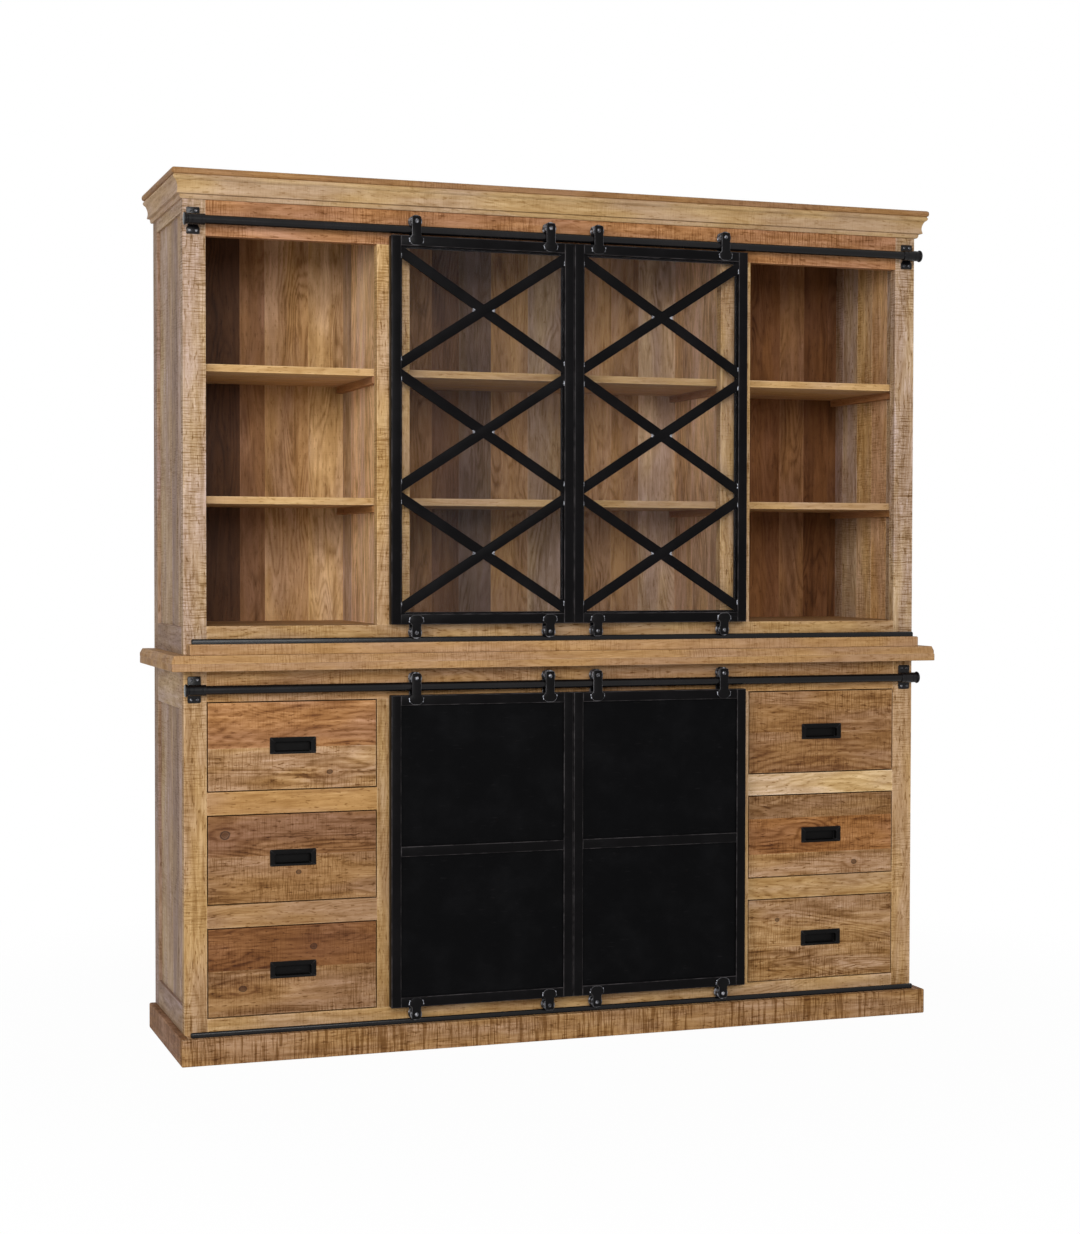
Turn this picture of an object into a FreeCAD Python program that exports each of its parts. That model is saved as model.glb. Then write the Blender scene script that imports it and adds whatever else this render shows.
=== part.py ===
import FreeCAD, Part

import math
import os

from FreeCAD import Vector

os.makedirs("parts", exist_ok=True)

# All sizes are in millimetres. X runs to the right, Y into the cabinet, Z up.
# The origin is on the floor, in the middle of the cabinet's width and depth.

# Whole cabinet
overall_height = 2200.0
case_width = 2014.0
case_depth = 441.0
overrun = 5.0
same_place = 0.01
edge_round = 4.0

# Boards of both cases
frame_thickness = 28.0
stile_width = 57.0
mid_stile_width = 85.5
side_bay_width = 434.5
side_thickness = 20.0
panel_thickness = 12.0
divider_thickness = 20.0
divider_inset = 18.5
back_thickness = 12.0
deck_thickness = 20.0

# Plinth
plinth_height = 66.5
plinth_proud = 53.5
plinth_overhang = 16.5
plinth_board = 20.0
plinth_deck = 18.0

# Lower case
bottom_rail_height = 38.0
drawer_opening_height = 224.5
drawer_rail_height = 57.0
lower_top_rail_height = 78.5
drawer_rows = 3
lower_side_top_rail = 97.0
lower_side_bottom_rail = 68.0
cupboard_shelf_height = 500.0
cupboard_shelf_setback = 30.0

# Worktop
worktop_proud = 60.0
worktop_overhang = 38.5
worktop_lower_layer = 19.0
worktop_upper_layer = 20.0
worktop_bevel = 6.0
worktop_inner_corner = 3.0

# Upper case
ledge_height = 27.0
ledge_proud = 50.0
ledge_inset = 7.0
upper_bottom_rail_height = 70.0
frieze_height = 144.3
upper_side_top_rail = 86.5
upper_side_bottom_rail = 67.5
shelf_thickness = 18.5
shelf_place_shares = (0.3163, 0.6575)
shelf_setback = 10.0
shelf_clearance = 1.0
cleat_size = 18.0
cleat_setback = 7.0

# Cornice, each reach being how far it stands out from the case
cap_round = 6.5
cap_edge_flat = 2.7
cap_lip = 4.0
bead_swell = 5.0
bead_top_step = 4.0
bead_step = 1.5
bead_height = 13.5
cove_top_reach = 18.5
cove_foot_reach = 16.5
cove_depth = 3.0
cove_drop = 3.0
cove_height = 26.5
fillet_drop = 2.0
foot_reach = 8.5
foot_step = 1.5
foot_height = 9.9
foot_bottom_reach = 6.0

# Rods, their brackets and their end caps
rod_radius = 11.0
rod_standoff = 29.5
rod_end_inset = 7.0
upper_rod_drop = 52.7
lower_rod_drop = 47.1
bracket_width = 33.0
bracket_height = 66.0
bracket_plate = 4.0
bracket_waist = 11.0
bracket_waist_height = 34.0
bracket_from_side = 25.5
collar_wall = 3.0
collar_length = 43.0
arm_width = 19.0
arm_height = 16.0
cap_neck_proud = 2.0
cap_neck_length = 4.0
cap_disc_proud = 5.0
cap_disc_length = 6.0
fit_gap = 0.05

# Screws of the rod brackets
screw_radius = 2.0
screw_depth = 20.0
screw_head_radius = 3.8
screw_head_height = 2.2
screw_head_round = 1.2
screw_side_inset = 9.0
screw_end_inset = 8.5

# Guide bars below the doors
bar_height = 13.0
bar_thickness = 10.0
upper_bar_inset = 7.0
lower_bar_inset = 10.0

# Wheels
wheel_groove_radius = 10.4
wheel_flange_radius = 15.5
wheel_rim_flat = 1.55
wheel_hub_radius = 7.0
wheel_hub_step = 1.0
wheel_side_gap = 0.5
wheel_gap = 0.3

# Doors
door_edge_inset = 26.5
door_meeting_gap = 1.5
door_tube_width = 26.0
door_tube_wall = 1.5
glass_door_drop = 4.2
glass_door_lift = 5.3
steel_door_drop = 10.4
steel_door_lift = 2.8
door_mid_rail = 26.0
lattice_rows = 3
lattice_bar_width = 26.0
lattice_bar_thickness = 5.0
lattice_lap = 2.0
lattice_setback = 3.0
pane_thickness = 4.0
pane_gap = 0.5
glazing_width = 5.0
glazing_depth = 8.0
sheet_thickness = 2.0
sheet_setback = 6.0

# Hangers above the doors and guides below them
hanger_inset = 65.0
strap_thickness = 3.0
strap_width = 24.0
strap_corner = 4.0
strap_above_pin = 12.5
foot_width = 36.0
foot_flare = 6.0
foot_side = 8.0
foot_lap = 24.0
foot_base_width = 20.0
pin_radius = 4.0
pin_head_radius = 5.5
pin_head_height = 2.5
pin_head_round = 1.5

# Drawers and their runners
drawer_gap = 3.0
drawer_setback = 1.0
drawer_front_thickness = 20.0
drawer_box_gap = 12.0
drawer_back_gap = 28.0
drawer_head_room = 52.5
drawer_side_thickness = 12.0
drawer_bottom_thickness = 6.0
drawer_bottom_rise = 10.0
drawer_seat_gap = 0.3
runner_height = 20.0
runner_lap = 10.0
guide_height = 25.0
guide_gap = 1.0

# Recessed pulls
pull_width = 118.0
pull_height = 42.0
pull_flange = 2.0
pull_corner = 2.0
pull_side = 13.0
pull_rim = 6.0
pull_hood = 12.0
pull_wall = 1.5
pull_seat_gap = 0.3
pocket_floor = 4.7

# Places worked out from the sizes above
case_half = case_width / 2
overall_depth = case_depth + worktop_proud
case_front = worktop_proud - overall_depth / 2
case_back = case_front + case_depth
frame_back = case_front + frame_thickness
back_front = case_back - back_thickness
outer_stile_inner = case_half - stile_width
mid_stile_outer = outer_stile_inner - side_bay_width
mid_stile_inner = mid_stile_outer - mid_stile_width
side_inner = case_half - side_thickness
divider_outer = mid_stile_outer - divider_inset
divider_inner = divider_outer - divider_thickness

cap_thickness = 2 * cap_round + cap_edge_flat
moulding_height = bead_height + cove_drop + cove_height + fillet_drop + foot_step + foot_height
bead_foot_reach = cove_top_reach + bead_step
bead_top_reach = bead_foot_reach + bead_top_step
bead_reach = (bead_top_reach + bead_foot_reach) / 2 + bead_swell
cove_reach = (cove_top_reach + cove_foot_reach) / 2 - cove_depth
cap_reach = bead_reach + cap_lip

drawer_floor = plinth_height + bottom_rail_height
drawer_pitch = drawer_opening_height + drawer_rail_height
drawer_ceiling = drawer_floor + drawer_rows * drawer_pitch - drawer_rail_height
lower_case_top = drawer_ceiling + lower_top_rail_height

worktop_corner = worktop_bevel + worktop_inner_corner
worktop_half = case_half + worktop_overhang
worktop_joint = lower_case_top + worktop_lower_layer
worktop_top = worktop_joint + worktop_upper_layer
ledge_top = worktop_top + ledge_height
bay_floor = worktop_top + upper_bottom_rail_height
cap_bottom = overall_height - cap_thickness
bay_ceiling = cap_bottom - frieze_height
bay_height = bay_ceiling - bay_floor
moulding_bottom = cap_bottom - moulding_height

roll_radius = wheel_groove_radius + wheel_gap
wheel_groove_curve = rod_radius + wheel_gap
wheel_groove_centre = wheel_groove_radius + wheel_groove_curve
wheel_groove_half = math.sqrt(
    wheel_groove_curve**2 - (wheel_groove_centre - wheel_flange_radius) ** 2
)
wheel_width = 2 * (wheel_groove_half + wheel_rim_flat)
wheel_hub_width = wheel_width + 2 * wheel_hub_step
door_tube_depth = wheel_hub_width + 2 * wheel_side_gap

rod_line = case_front - rod_standoff
rod_end = case_half - rod_end_inset
upper_rod_height = moulding_bottom - upper_rod_drop
lower_rod_height = lower_case_top - lower_rod_drop
bracket_middle = case_half - bracket_from_side
collar_radius = rod_radius + collar_wall
collar_inner_end = rod_end - collar_length
screw_spacing_x = bracket_width - 2 * screw_side_inset
screw_spacing_z = bracket_height - 2 * screw_end_inset
upper_bar_top = ledge_top + bar_height
lower_bar_top = plinth_height + bar_height

door_front = rod_line - door_tube_depth / 2
door_back = rod_line + door_tube_depth / 2
door_outer_edge = mid_stile_outer - door_edge_inset
door_inner_edge = door_meeting_gap / 2
glass_door_top = upper_rod_height - rod_radius - glass_door_drop
glass_door_bottom = upper_bar_top + roll_radius + wheel_flange_radius + glass_door_lift
steel_door_top = lower_rod_height - rod_radius - steel_door_drop
steel_door_bottom = lower_bar_top + roll_radius + wheel_flange_radius + steel_door_lift

drawer_box_height = drawer_opening_height - drawer_head_room
drawer_box_front = case_front + drawer_setback + drawer_front_thickness
drawer_box_back = back_front - drawer_back_gap
pull_mouth_width = pull_width - 2 * pull_side
pull_mouth_height = pull_height - pull_rim - pull_hood
pull_pan_height = pull_height - 2 * pull_rim
pull_pan_depth = drawer_front_thickness - pocket_floor - pull_seat_gap

LEFT, RIGHT = -1, 1
SIDES = (("left", LEFT), ("right", RIGHT))
ALONG_X = Vector(1, 0, 0)
ALONG_Y = Vector(0, 1, 0)


def save(name, solids):
    """Writes the solids of one sub-part to its file."""
    shape = solids[0] if len(solids) == 1 else Part.makeCompound(solids)
    shape.exportStep(os.path.join("parts", name + ".step"))


def box(x_span, y_span, z_span):
    """A block between the two ends of each span, given in either order."""
    (x0, x1), (y0, y1), (z0, z1) = (sorted(span) for span in (x_span, y_span, z_span))
    return Part.makeBox(x1 - x0, y1 - y0, z1 - z0, Vector(x0, y0, z0))


def on_side(side, inner, outer):
    """The X span between two distances from the middle plane, on one side of it."""
    return (side * inner, side * outer)


def across(half):
    """The X span that is centred on the middle plane."""
    return (-half, half)


def edges_at(shape, x=None, y=None, z=None):
    """The straight edges of a shape that lie wholly at the given X, Y or Z."""
    found = []
    for edge in shape.Edges:
        reach = edge.BoundBox
        tests = (
            (x, reach.XMin, reach.XMax),
            (y, reach.YMin, reach.YMax),
            (z, reach.ZMin, reach.ZMax),
        )
        if all(
            at is None or max(abs(low - at), abs(high - at)) < same_place
            for at, low, high in tests
        ):
            found.append(edge)
    return found


def prism(points, reach):
    """A flat outline of points, closed and pushed along a vector."""
    outline = Part.makePolygon(points + points[:1])
    return Part.Face(outline).extrude(reach)


def cylinder_x(radius, x_span, y, z):
    x0, x1 = sorted(x_span)
    return Part.makeCylinder(radius, x1 - x0, Vector(x0, y, z), ALONG_X)


def cylinder_y(radius, y_span, x, z):
    y0, y1 = sorted(y_span)
    return Part.makeCylinder(radius, y1 - y0, Vector(x, y0, z), ALONG_Y)


# Plinth


def plinth_front():
    half = case_half + plinth_overhang
    front = case_front - plinth_proud
    board = box(across(half), (front, front + plinth_board), (0, plinth_height))
    rounded = edges_at(board, y=front, z=plinth_height)
    rounded += edges_at(board, x=-half, y=front)
    rounded += edges_at(board, x=half, y=front)
    return board.makeFillet(edge_round, rounded)


def plinth_side(side):
    outer = case_half + plinth_overhang
    front = case_front - plinth_proud + plinth_board
    board = box(
        on_side(side, outer - plinth_board, outer), (front, case_back), (0, plinth_height)
    )
    return board.makeFillet(edge_round, edges_at(board, x=side * outer, z=plinth_height))


def plinth():
    inner = case_half + plinth_overhang - plinth_board
    front = case_front - plinth_proud + plinth_board
    back = case_back - plinth_board
    deck = box(across(inner), (front, back), (plinth_height - plinth_deck, plinth_height))
    back_board = box(across(inner), (back, case_back), (0, plinth_height))
    return [plinth_front(), plinth_side(LEFT), plinth_side(RIGHT), back_board, deck]


# Face frames and sides


def frame_board(x_span, z_span):
    return box(x_span, (case_front, frame_back), z_span)


def drawer_bottom(row):
    """The height of the opening of a drawer row, counted from the lowest."""
    return drawer_floor + row * drawer_pitch


def lower_face_frame():
    boards = [
        frame_board(across(outer_stile_inner), (plinth_height, drawer_floor)),
        frame_board(across(outer_stile_inner), (drawer_ceiling, lower_case_top)),
    ]
    for _, side in SIDES:
        outer = frame_board(
            on_side(side, outer_stile_inner, case_half), (plinth_height, lower_case_top)
        )
        boards.append(drilled(outer, side, lower_rod_height))
        boards.append(
            frame_board(
                on_side(side, mid_stile_inner, mid_stile_outer),
                (drawer_floor, drawer_ceiling),
            )
        )
        for row in range(1, drawer_rows):
            top = drawer_bottom(row)
            boards.append(
                frame_board(
                    on_side(side, mid_stile_outer, outer_stile_inner),
                    (top - drawer_rail_height, top),
                )
            )
    return boards


def upper_face_frame():
    boards = [
        frame_board(across(outer_stile_inner), (worktop_top, bay_floor)),
        frame_board(across(outer_stile_inner), (bay_ceiling, cap_bottom)),
    ]
    for _, side in SIDES:
        outer = frame_board(
            on_side(side, outer_stile_inner, case_half), (worktop_top, cap_bottom)
        )
        boards.append(drilled(outer, side, upper_rod_height))
        boards.append(
            frame_board(
                on_side(side, mid_stile_inner, mid_stile_outer), (bay_floor, bay_ceiling)
            )
        )
    return boards


def framed_side(side, bottom, top, bottom_rail, top_rail):
    """A case side: a back stile, two rails and a panel set back from their faces."""
    stile_front = case_back - stile_width
    thick = on_side(side, side_inner, case_half)
    thin = on_side(side, side_inner, side_inner + panel_thickness)
    depth = (frame_back, stile_front)
    return [
        box(thick, (stile_front, case_back), (bottom, top)),
        box(thick, depth, (bottom, bottom + bottom_rail)),
        box(thick, depth, (top - top_rail, top)),
        box(thin, depth, (bottom + bottom_rail, top - top_rail)),
    ]


def lower_sides():
    solids = []
    for _, side in SIDES:
        solids += framed_side(
            side, plinth_height, lower_case_top, lower_side_bottom_rail, lower_side_top_rail
        )
    return solids


def upper_sides():
    solids = []
    for _, side in SIDES:
        solids += framed_side(
            side, worktop_top, cap_bottom, upper_side_bottom_rail, upper_side_top_rail
        )
    return solids


# Insides of the two cases


def inside_board(x_span, z_span, setback=0):
    return box(x_span, (frame_back + setback, back_front), z_span)


def lower_partitions():
    floor = inside_board(across(side_inner), (drawer_floor - deck_thickness, drawer_floor))
    shelf_bottom = cupboard_shelf_height - shelf_thickness
    shelf = inside_board(
        across(divider_inner), (shelf_bottom, cupboard_shelf_height), cupboard_shelf_setback
    )
    dividers = [
        inside_board(
            on_side(side, divider_inner, divider_outer), (drawer_floor, lower_case_top)
        )
        for _, side in SIDES
    ]
    return [floor, shelf] + dividers


def upper_partitions():
    floor = inside_board(across(side_inner), (bay_floor - deck_thickness, bay_floor))
    roof = inside_board(across(side_inner), (cap_bottom - deck_thickness, cap_bottom))
    dividers = [
        inside_board(
            on_side(side, divider_inner, divider_outer),
            (bay_floor, cap_bottom - deck_thickness),
        )
        for _, side in SIDES
    ]
    return [floor, roof] + dividers


def back_panel(bottom, top):
    return box(across(side_inner), (back_front, case_back), (bottom, top))


def shelf_and_cleats(x_span, place_share):
    """A loose shelf of one bay and the two cleats that carry it."""
    low, high = sorted(x_span)
    under = bay_floor + place_share * bay_height
    shelf = inside_board(
        (low + shelf_clearance, high - shelf_clearance),
        (under, under + shelf_thickness),
        shelf_setback,
    )
    cleats = [
        inside_board(
            span, (under - cleat_size, under), shelf_setback + cleat_setback
        )
        for span in ((low, low + cleat_size), (high - cleat_size, high))
    ]
    return [shelf] + cleats


def shelves():
    bays = [across(divider_inner)]
    bays += [on_side(side, divider_outer, side_inner) for _, side in SIDES]
    solids = []
    for bay in bays:
        for place_share in shelf_place_shares:
            solids += shelf_and_cleats(bay, place_share)
    return solids


# Worktop, ledge and cornice


def worktop_layer(z_span):
    front = case_front - worktop_proud
    board = box(across(worktop_half), (front, case_back), z_span)
    corners = edges_at(board, x=-worktop_half, y=front)
    corners += edges_at(board, x=worktop_half, y=front)
    return board.makeFillet(worktop_corner, corners)


def worktop():
    upper = worktop_layer((worktop_joint, worktop_top))
    rim = [
        edge
        for edge in edges_at(upper, z=worktop_top)
        if edge.BoundBox.YMin < case_back - same_place
    ]
    return [
        worktop_layer((lower_case_top, worktop_joint)),
        upper.makeChamfer(worktop_bevel, rim),
    ]


def upper_ledge():
    half = case_half - ledge_inset
    front = case_front - ledge_proud
    board = box(across(half), (front, case_front), (worktop_top, ledge_top))
    return board.makeFillet(edge_round, edges_at(board, y=front, z=ledge_top))


def moulding_outline(place):
    """The cornice's section, with place(reach, height) putting a point in space."""
    bead_foot = cap_bottom - bead_height
    cove_top = bead_foot - cove_drop
    cove_foot = cove_top - cove_height
    step = cove_foot - fillet_drop

    def line(a, b):
        return Part.makeLine(place(*a), place(*b))

    def bend(a, middle, b):
        return Part.Arc(place(*a), place(*middle), place(*b)).toShape()

    edges = [
        line((0, cap_bottom), (bead_top_reach, cap_bottom)),
        bend(
            (bead_top_reach, cap_bottom),
            (bead_reach, cap_bottom - bead_height / 2),
            (bead_foot_reach, bead_foot),
        ),
        line((bead_foot_reach, bead_foot), (cove_top_reach, cove_top)),
        bend(
            (cove_top_reach, cove_top),
            (cove_reach, cove_top - cove_height / 2),
            (cove_foot_reach, cove_foot),
        ),
        line((cove_foot_reach, cove_foot), (cove_foot_reach, step)),
        line((cove_foot_reach, step), (foot_reach, step - foot_step)),
        line((foot_reach, step - foot_step), (foot_bottom_reach, moulding_bottom)),
        line((foot_bottom_reach, moulding_bottom), (0, moulding_bottom)),
        line((0, moulding_bottom), (0, cap_bottom)),
    ]
    return Part.Face(Part.Wire(edges))


def front_moulding():
    far = case_half + cap_reach
    section = moulding_outline(lambda reach, z: Vector(-far, case_front - reach, z))
    length = section.extrude(Vector(2 * far, 0, 0))
    mitres = prism(
        [
            Vector(-case_half, case_front, moulding_bottom),
            Vector(case_half, case_front, moulding_bottom),
            Vector(far, case_front - cap_reach, moulding_bottom),
            Vector(-far, case_front - cap_reach, moulding_bottom),
        ],
        Vector(0, 0, moulding_height),
    )
    return length.common(mitres)


def side_moulding(side):
    far = case_half + cap_reach
    front = case_front - cap_reach
    section = moulding_outline(
        lambda reach, z: Vector(side * (case_half + reach), front, z)
    )
    length = section.extrude(Vector(0, case_back - front, 0))
    mitre = prism(
        [
            Vector(side * case_half, case_front, moulding_bottom),
            Vector(side * far, front, moulding_bottom),
            Vector(side * far, case_back, moulding_bottom),
            Vector(side * case_half, case_back, moulding_bottom),
        ],
        Vector(0, 0, moulding_height),
    )
    return length.common(mitre)


def cornice_cap():
    half = case_half + cap_reach
    front = case_front - cap_reach
    board = box(across(half), (front, case_back), (cap_bottom, overall_height))
    rounded = []
    for z in (cap_bottom, overall_height):
        rounded += edges_at(board, y=front, z=z)
        rounded += edges_at(board, x=-half, z=z)
        rounded += edges_at(board, x=half, z=z)
    return board.makeFillet(cap_round, rounded)


def cornice():
    return [
        front_moulding().Solids[0],
        side_moulding(LEFT).Solids[0],
        side_moulding(RIGHT).Solids[0],
        cornice_cap(),
    ]


# Rods, brackets, screws and guide bars


def screw_places(side, rod_height):
    """The middles of a bracket's four screws, as X and Z."""
    return [
        (side * bracket_middle + dx * screw_spacing_x / 2, rod_height + dz * screw_spacing_z / 2)
        for dx in (-1, 1)
        for dz in (-1, 1)
    ]


def drilled(board, side, rod_height):
    """The stile with the pilot holes of a bracket's screws."""
    for x, z in screw_places(side, rod_height):
        hole = cylinder_y(
            screw_radius + fit_gap, (case_front - overrun, case_front + screw_depth), x, z
        )
        board = board.cut(hole)
    return board


def rod_and_caps(rod_height):
    solids = [cylinder_x(rod_radius, across(rod_end), rod_line, rod_height)]
    for _, side in SIDES:
        disc_start = rod_end + cap_neck_length
        neck = cylinder_x(
            rod_radius + cap_neck_proud,
            on_side(side, rod_end, disc_start),
            rod_line,
            rod_height,
        )
        disc = cylinder_x(
            rod_radius + cap_disc_proud,
            on_side(side, disc_start, disc_start + cap_disc_length),
            rod_line,
            rod_height,
        )
        solids.append(neck.fuse(disc).removeSplitter())
    return solids


def waisted_plate(side, rod_height):
    """The upper bracket's plate, narrowed by an arc on each side."""
    half_width = bracket_width / 2
    half_height = bracket_height / 2
    half_waist = bracket_waist_height / 2
    middle = side * bracket_middle

    def at(dx, dz):
        return Vector(middle + dx, case_front, rod_height + dz)

    edges = []
    for turn in (1, -1):
        edges += [
            Part.makeLine(
                at(-turn * half_width, turn * half_height),
                at(turn * half_width, turn * half_height),
            ),
            Part.makeLine(
                at(turn * half_width, turn * half_height),
                at(turn * half_width, turn * half_waist),
            ),
            Part.Arc(
                at(turn * half_width, turn * half_waist),
                at(turn * bracket_waist, 0),
                at(turn * half_width, -turn * half_waist),
            ).toShape(),
            Part.makeLine(
                at(turn * half_width, -turn * half_waist),
                at(turn * half_width, -turn * half_height),
            ),
        ]
    return Part.Face(Part.Wire(edges)).extrude(Vector(0, -bracket_plate, 0))


def plain_plate(side, rod_height):
    """The lower bracket's plate, with rounded corners."""
    middle = side * bracket_middle
    x_span = (middle - bracket_width / 2, middle + bracket_width / 2)
    z_span = (rod_height - bracket_height / 2, rod_height + bracket_height / 2)
    plate = box(x_span, (case_front - bracket_plate, case_front), z_span)
    corners = []
    for x in x_span:
        for z in z_span:
            corners += edges_at(plate, x=x, z=z)
    return plate.makeFillet(edge_round, corners)


def rod_bracket(plate, side, rod_height):
    """A plate on the stile, an arm and the collar that holds the rod."""
    middle = side * bracket_middle
    arm = box(
        (middle - arm_width / 2, middle + arm_width / 2),
        (rod_line, case_front - bracket_plate),
        (rod_height - arm_height / 2, rod_height + arm_height / 2),
    )
    collar = cylinder_x(
        collar_radius, on_side(side, collar_inner_end, rod_end), rod_line, rod_height
    )
    bore = cylinder_x(
        rod_radius + fit_gap,
        on_side(side, collar_inner_end - overrun, rod_end + overrun),
        rod_line,
        rod_height,
    )
    bracket = plate.fuse(arm).fuse(collar).cut(bore)
    for x, z in screw_places(side, rod_height):
        hole = cylinder_y(
            screw_radius + fit_gap,
            (case_front - bracket_plate - overrun, case_front + overrun),
            x,
            z,
        )
        bracket = bracket.cut(hole)
    return bracket.removeSplitter()


def rod_brackets():
    solids = []
    for _, side in SIDES:
        upper = waisted_plate(side, upper_rod_height)
        lower = plain_plate(side, lower_rod_height)
        solids.append(rod_bracket(upper, side, upper_rod_height).Solids[0])
        solids.append(rod_bracket(lower, side, lower_rod_height).Solids[0])
    return solids


def bracket_screws():
    solids = []
    seat = case_front - bracket_plate
    top = seat - screw_head_height
    for _, side in SIDES:
        for rod_height in (upper_rod_height, lower_rod_height):
            for x, z in screw_places(side, rod_height):
                head = cylinder_y(screw_head_radius, (top, seat), x, z)
                head = head.makeFillet(screw_head_round, edges_at(head, y=top))
                shank = cylinder_y(screw_radius, (seat, case_front + screw_depth), x, z)
                solids.append(head.fuse(shank).removeSplitter())
    return solids


def guide_bar(half_length, seat):
    """A flat bar on edge with a round top, that stands on its ledge."""
    half = bar_thickness / 2
    shoulder = seat + bar_height - half

    def at(dy, z):
        return Vector(-half_length, rod_line + dy, z)

    edges = [
        Part.makeLine(at(-half, seat), at(half, seat)),
        Part.makeLine(at(half, seat), at(half, shoulder)),
        Part.Arc(at(half, shoulder), at(0, seat + bar_height), at(-half, shoulder)).toShape(),
        Part.makeLine(at(-half, shoulder), at(-half, seat)),
    ]
    return Part.Face(Part.Wire(edges)).extrude(Vector(2 * half_length, 0, 0))


def guide_bars():
    upper_half = case_half - ledge_inset - upper_bar_inset
    lower_half = case_half - lower_bar_inset
    return [guide_bar(upper_half, ledge_top), guide_bar(lower_half, plinth_height)]


# Doors


def stile_tube(x_span, bottom, top):
    """An upright square tube, closed at its top end."""
    x0, x1 = sorted(x_span)
    outer = box((x0, x1), (door_front, door_back), (bottom, top))
    hollow = box(
        (x0 + door_tube_wall, x1 - door_tube_wall),
        (door_front + door_tube_wall, door_back - door_tube_wall),
        (bottom - overrun, top - door_tube_wall),
    )
    return outer.cut(hollow)


def rail_tube(x_span, z_span):
    """A level square tube between the two stiles."""
    z0, z1 = z_span
    outer = box(x_span, (door_front, door_back), z_span)
    hollow = box(
        (min(x_span) - overrun, max(x_span) + overrun),
        (door_front + door_tube_wall, door_back - door_tube_wall),
        (z0 + door_tube_wall, z1 - door_tube_wall),
    )
    return outer.cut(hollow)


def door_inside(side, bottom, top):
    """The X and Z spans of the opening within a door's frame."""
    x_span = sorted(
        on_side(side, door_inner_edge + door_tube_width, door_outer_edge - door_tube_width)
    )
    return x_span, (bottom + door_tube_width, top - door_tube_width)


def door_frame(side, bottom, top, mid_rail=False):
    x_span, (z0, z1) = door_inside(side, bottom, top)
    outer = on_side(side, door_outer_edge - door_tube_width, door_outer_edge)
    inner = on_side(side, door_inner_edge, door_inner_edge + door_tube_width)
    tubes = [
        stile_tube(outer, bottom, top),
        stile_tube(inner, bottom, top),
        rail_tube(x_span, (bottom, z0)),
        rail_tube(x_span, (z1, top)),
    ]
    if mid_rail:
        middle = (z0 + z1) / 2
        tubes.append(
            rail_tube(x_span, (middle - door_mid_rail / 2, middle + door_mid_rail / 2))
        )
    return tubes


def lattice(side):
    """Three crosses of flat bar, one above the other, welded into one grille.

    The edges of each bar run to two opposite corners of its row.
    """
    (x0, x1), (z0, z1) = door_inside(side, glass_door_bottom, glass_door_top)
    front = door_front + lattice_setback
    depth = Vector(0, lattice_bar_thickness, 0)
    rise = (z1 - z0) / lattice_rows
    row_height = rise + lattice_lap
    diagonal = math.hypot(x1 - x0, row_height)
    slope = math.atan2(row_height, x1 - x0) - math.asin(lattice_bar_width / diagonal)
    shift = lattice_bar_width / 2
    offset = Vector(-math.sin(slope) * shift, 0, math.cos(slope) * shift)
    reach = Vector(math.cos(slope), 0, math.sin(slope)) * (diagonal / 2 + lattice_bar_width)
    opening = box((x0, x1), (front, front + lattice_bar_thickness), (z0, z1))
    grille = None
    for row in range(lattice_rows):
        middle = Vector((x0 + x1) / 2, front, z0 + row * rise + rise / 2)
        for turn in (1, -1):
            across_bar = Vector(turn * offset.x, 0, offset.z)
            along = Vector(reach.x, 0, turn * reach.z)
            bar = prism(
                [
                    middle - along - across_bar,
                    middle + along - across_bar,
                    middle + along + across_bar,
                    middle - along + across_bar,
                ],
                depth,
            )
            grille = bar if grille is None else grille.fuse(bar)
    return grille.common(opening).removeSplitter().Solids[0]


def glass_pane(side):
    """The pane lies against the back of the grille."""
    (x0, x1), (z0, z1) = door_inside(side, glass_door_bottom, glass_door_top)
    front = door_front + lattice_setback + lattice_bar_thickness
    return box(
        (x0 + pane_gap, x1 - pane_gap),
        (front, front + pane_thickness),
        (z0 + pane_gap, z1 - pane_gap),
    )


def glazing_beads(side):
    """Four strips behind the pane hold it against the grille."""
    (x0, x1), (z0, z1) = door_inside(side, glass_door_bottom, glass_door_top)
    front = door_front + lattice_setback + lattice_bar_thickness + pane_thickness
    y_span = (front, front + glazing_depth)
    low, high = z0 + glazing_width, z1 - glazing_width
    return [
        box((x0, x1), y_span, (z0, low)),
        box((x0, x1), y_span, (high, z1)),
        box((x0, x0 + glazing_width), y_span, (low, high)),
        box((x1 - glazing_width, x1), y_span, (low, high)),
    ]


def door_sheets(side):
    """The two steel sheets of a lower door, above and below its middle rail."""
    x_span, (z0, z1) = door_inside(side, steel_door_bottom, steel_door_top)
    middle = (z0 + z1) / 2
    front = door_front + sheet_setback
    y_span = (front, front + sheet_thickness)
    return [
        box(x_span, y_span, (z0, middle - door_mid_rail / 2)),
        box(x_span, y_span, (middle + door_mid_rail / 2, z1)),
    ]


def strap(x, pin_height, door_edge, y_front):
    """One plate of a hanger, from beyond the pin to its foot on the door's rail."""
    away = 1 if pin_height > door_edge else -1
    reach = abs(pin_height - door_edge)
    half, foot, base = strap_width / 2, foot_width / 2, foot_base_width / 2
    profile = [
        (half - strap_corner, strap_above_pin),
        (half, strap_above_pin - strap_corner),
        (half, -reach),
        (foot, -reach - foot_flare),
        (foot, -reach - foot_flare - foot_side),
        (base, -reach - foot_lap),
    ]
    points = [Vector(x + dx, y_front, pin_height + away * dz) for dx, dz in profile]
    points += [
        Vector(x - dx, y_front, pin_height + away * dz) for dx, dz in reversed(profile)
    ]
    plate = prism(points, Vector(0, strap_thickness, 0))
    hole = cylinder_y(
        pin_radius + fit_gap, (y_front - overrun, y_front + strap_thickness + overrun),
        x, pin_height,
    )
    return plate.cut(hole)


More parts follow.
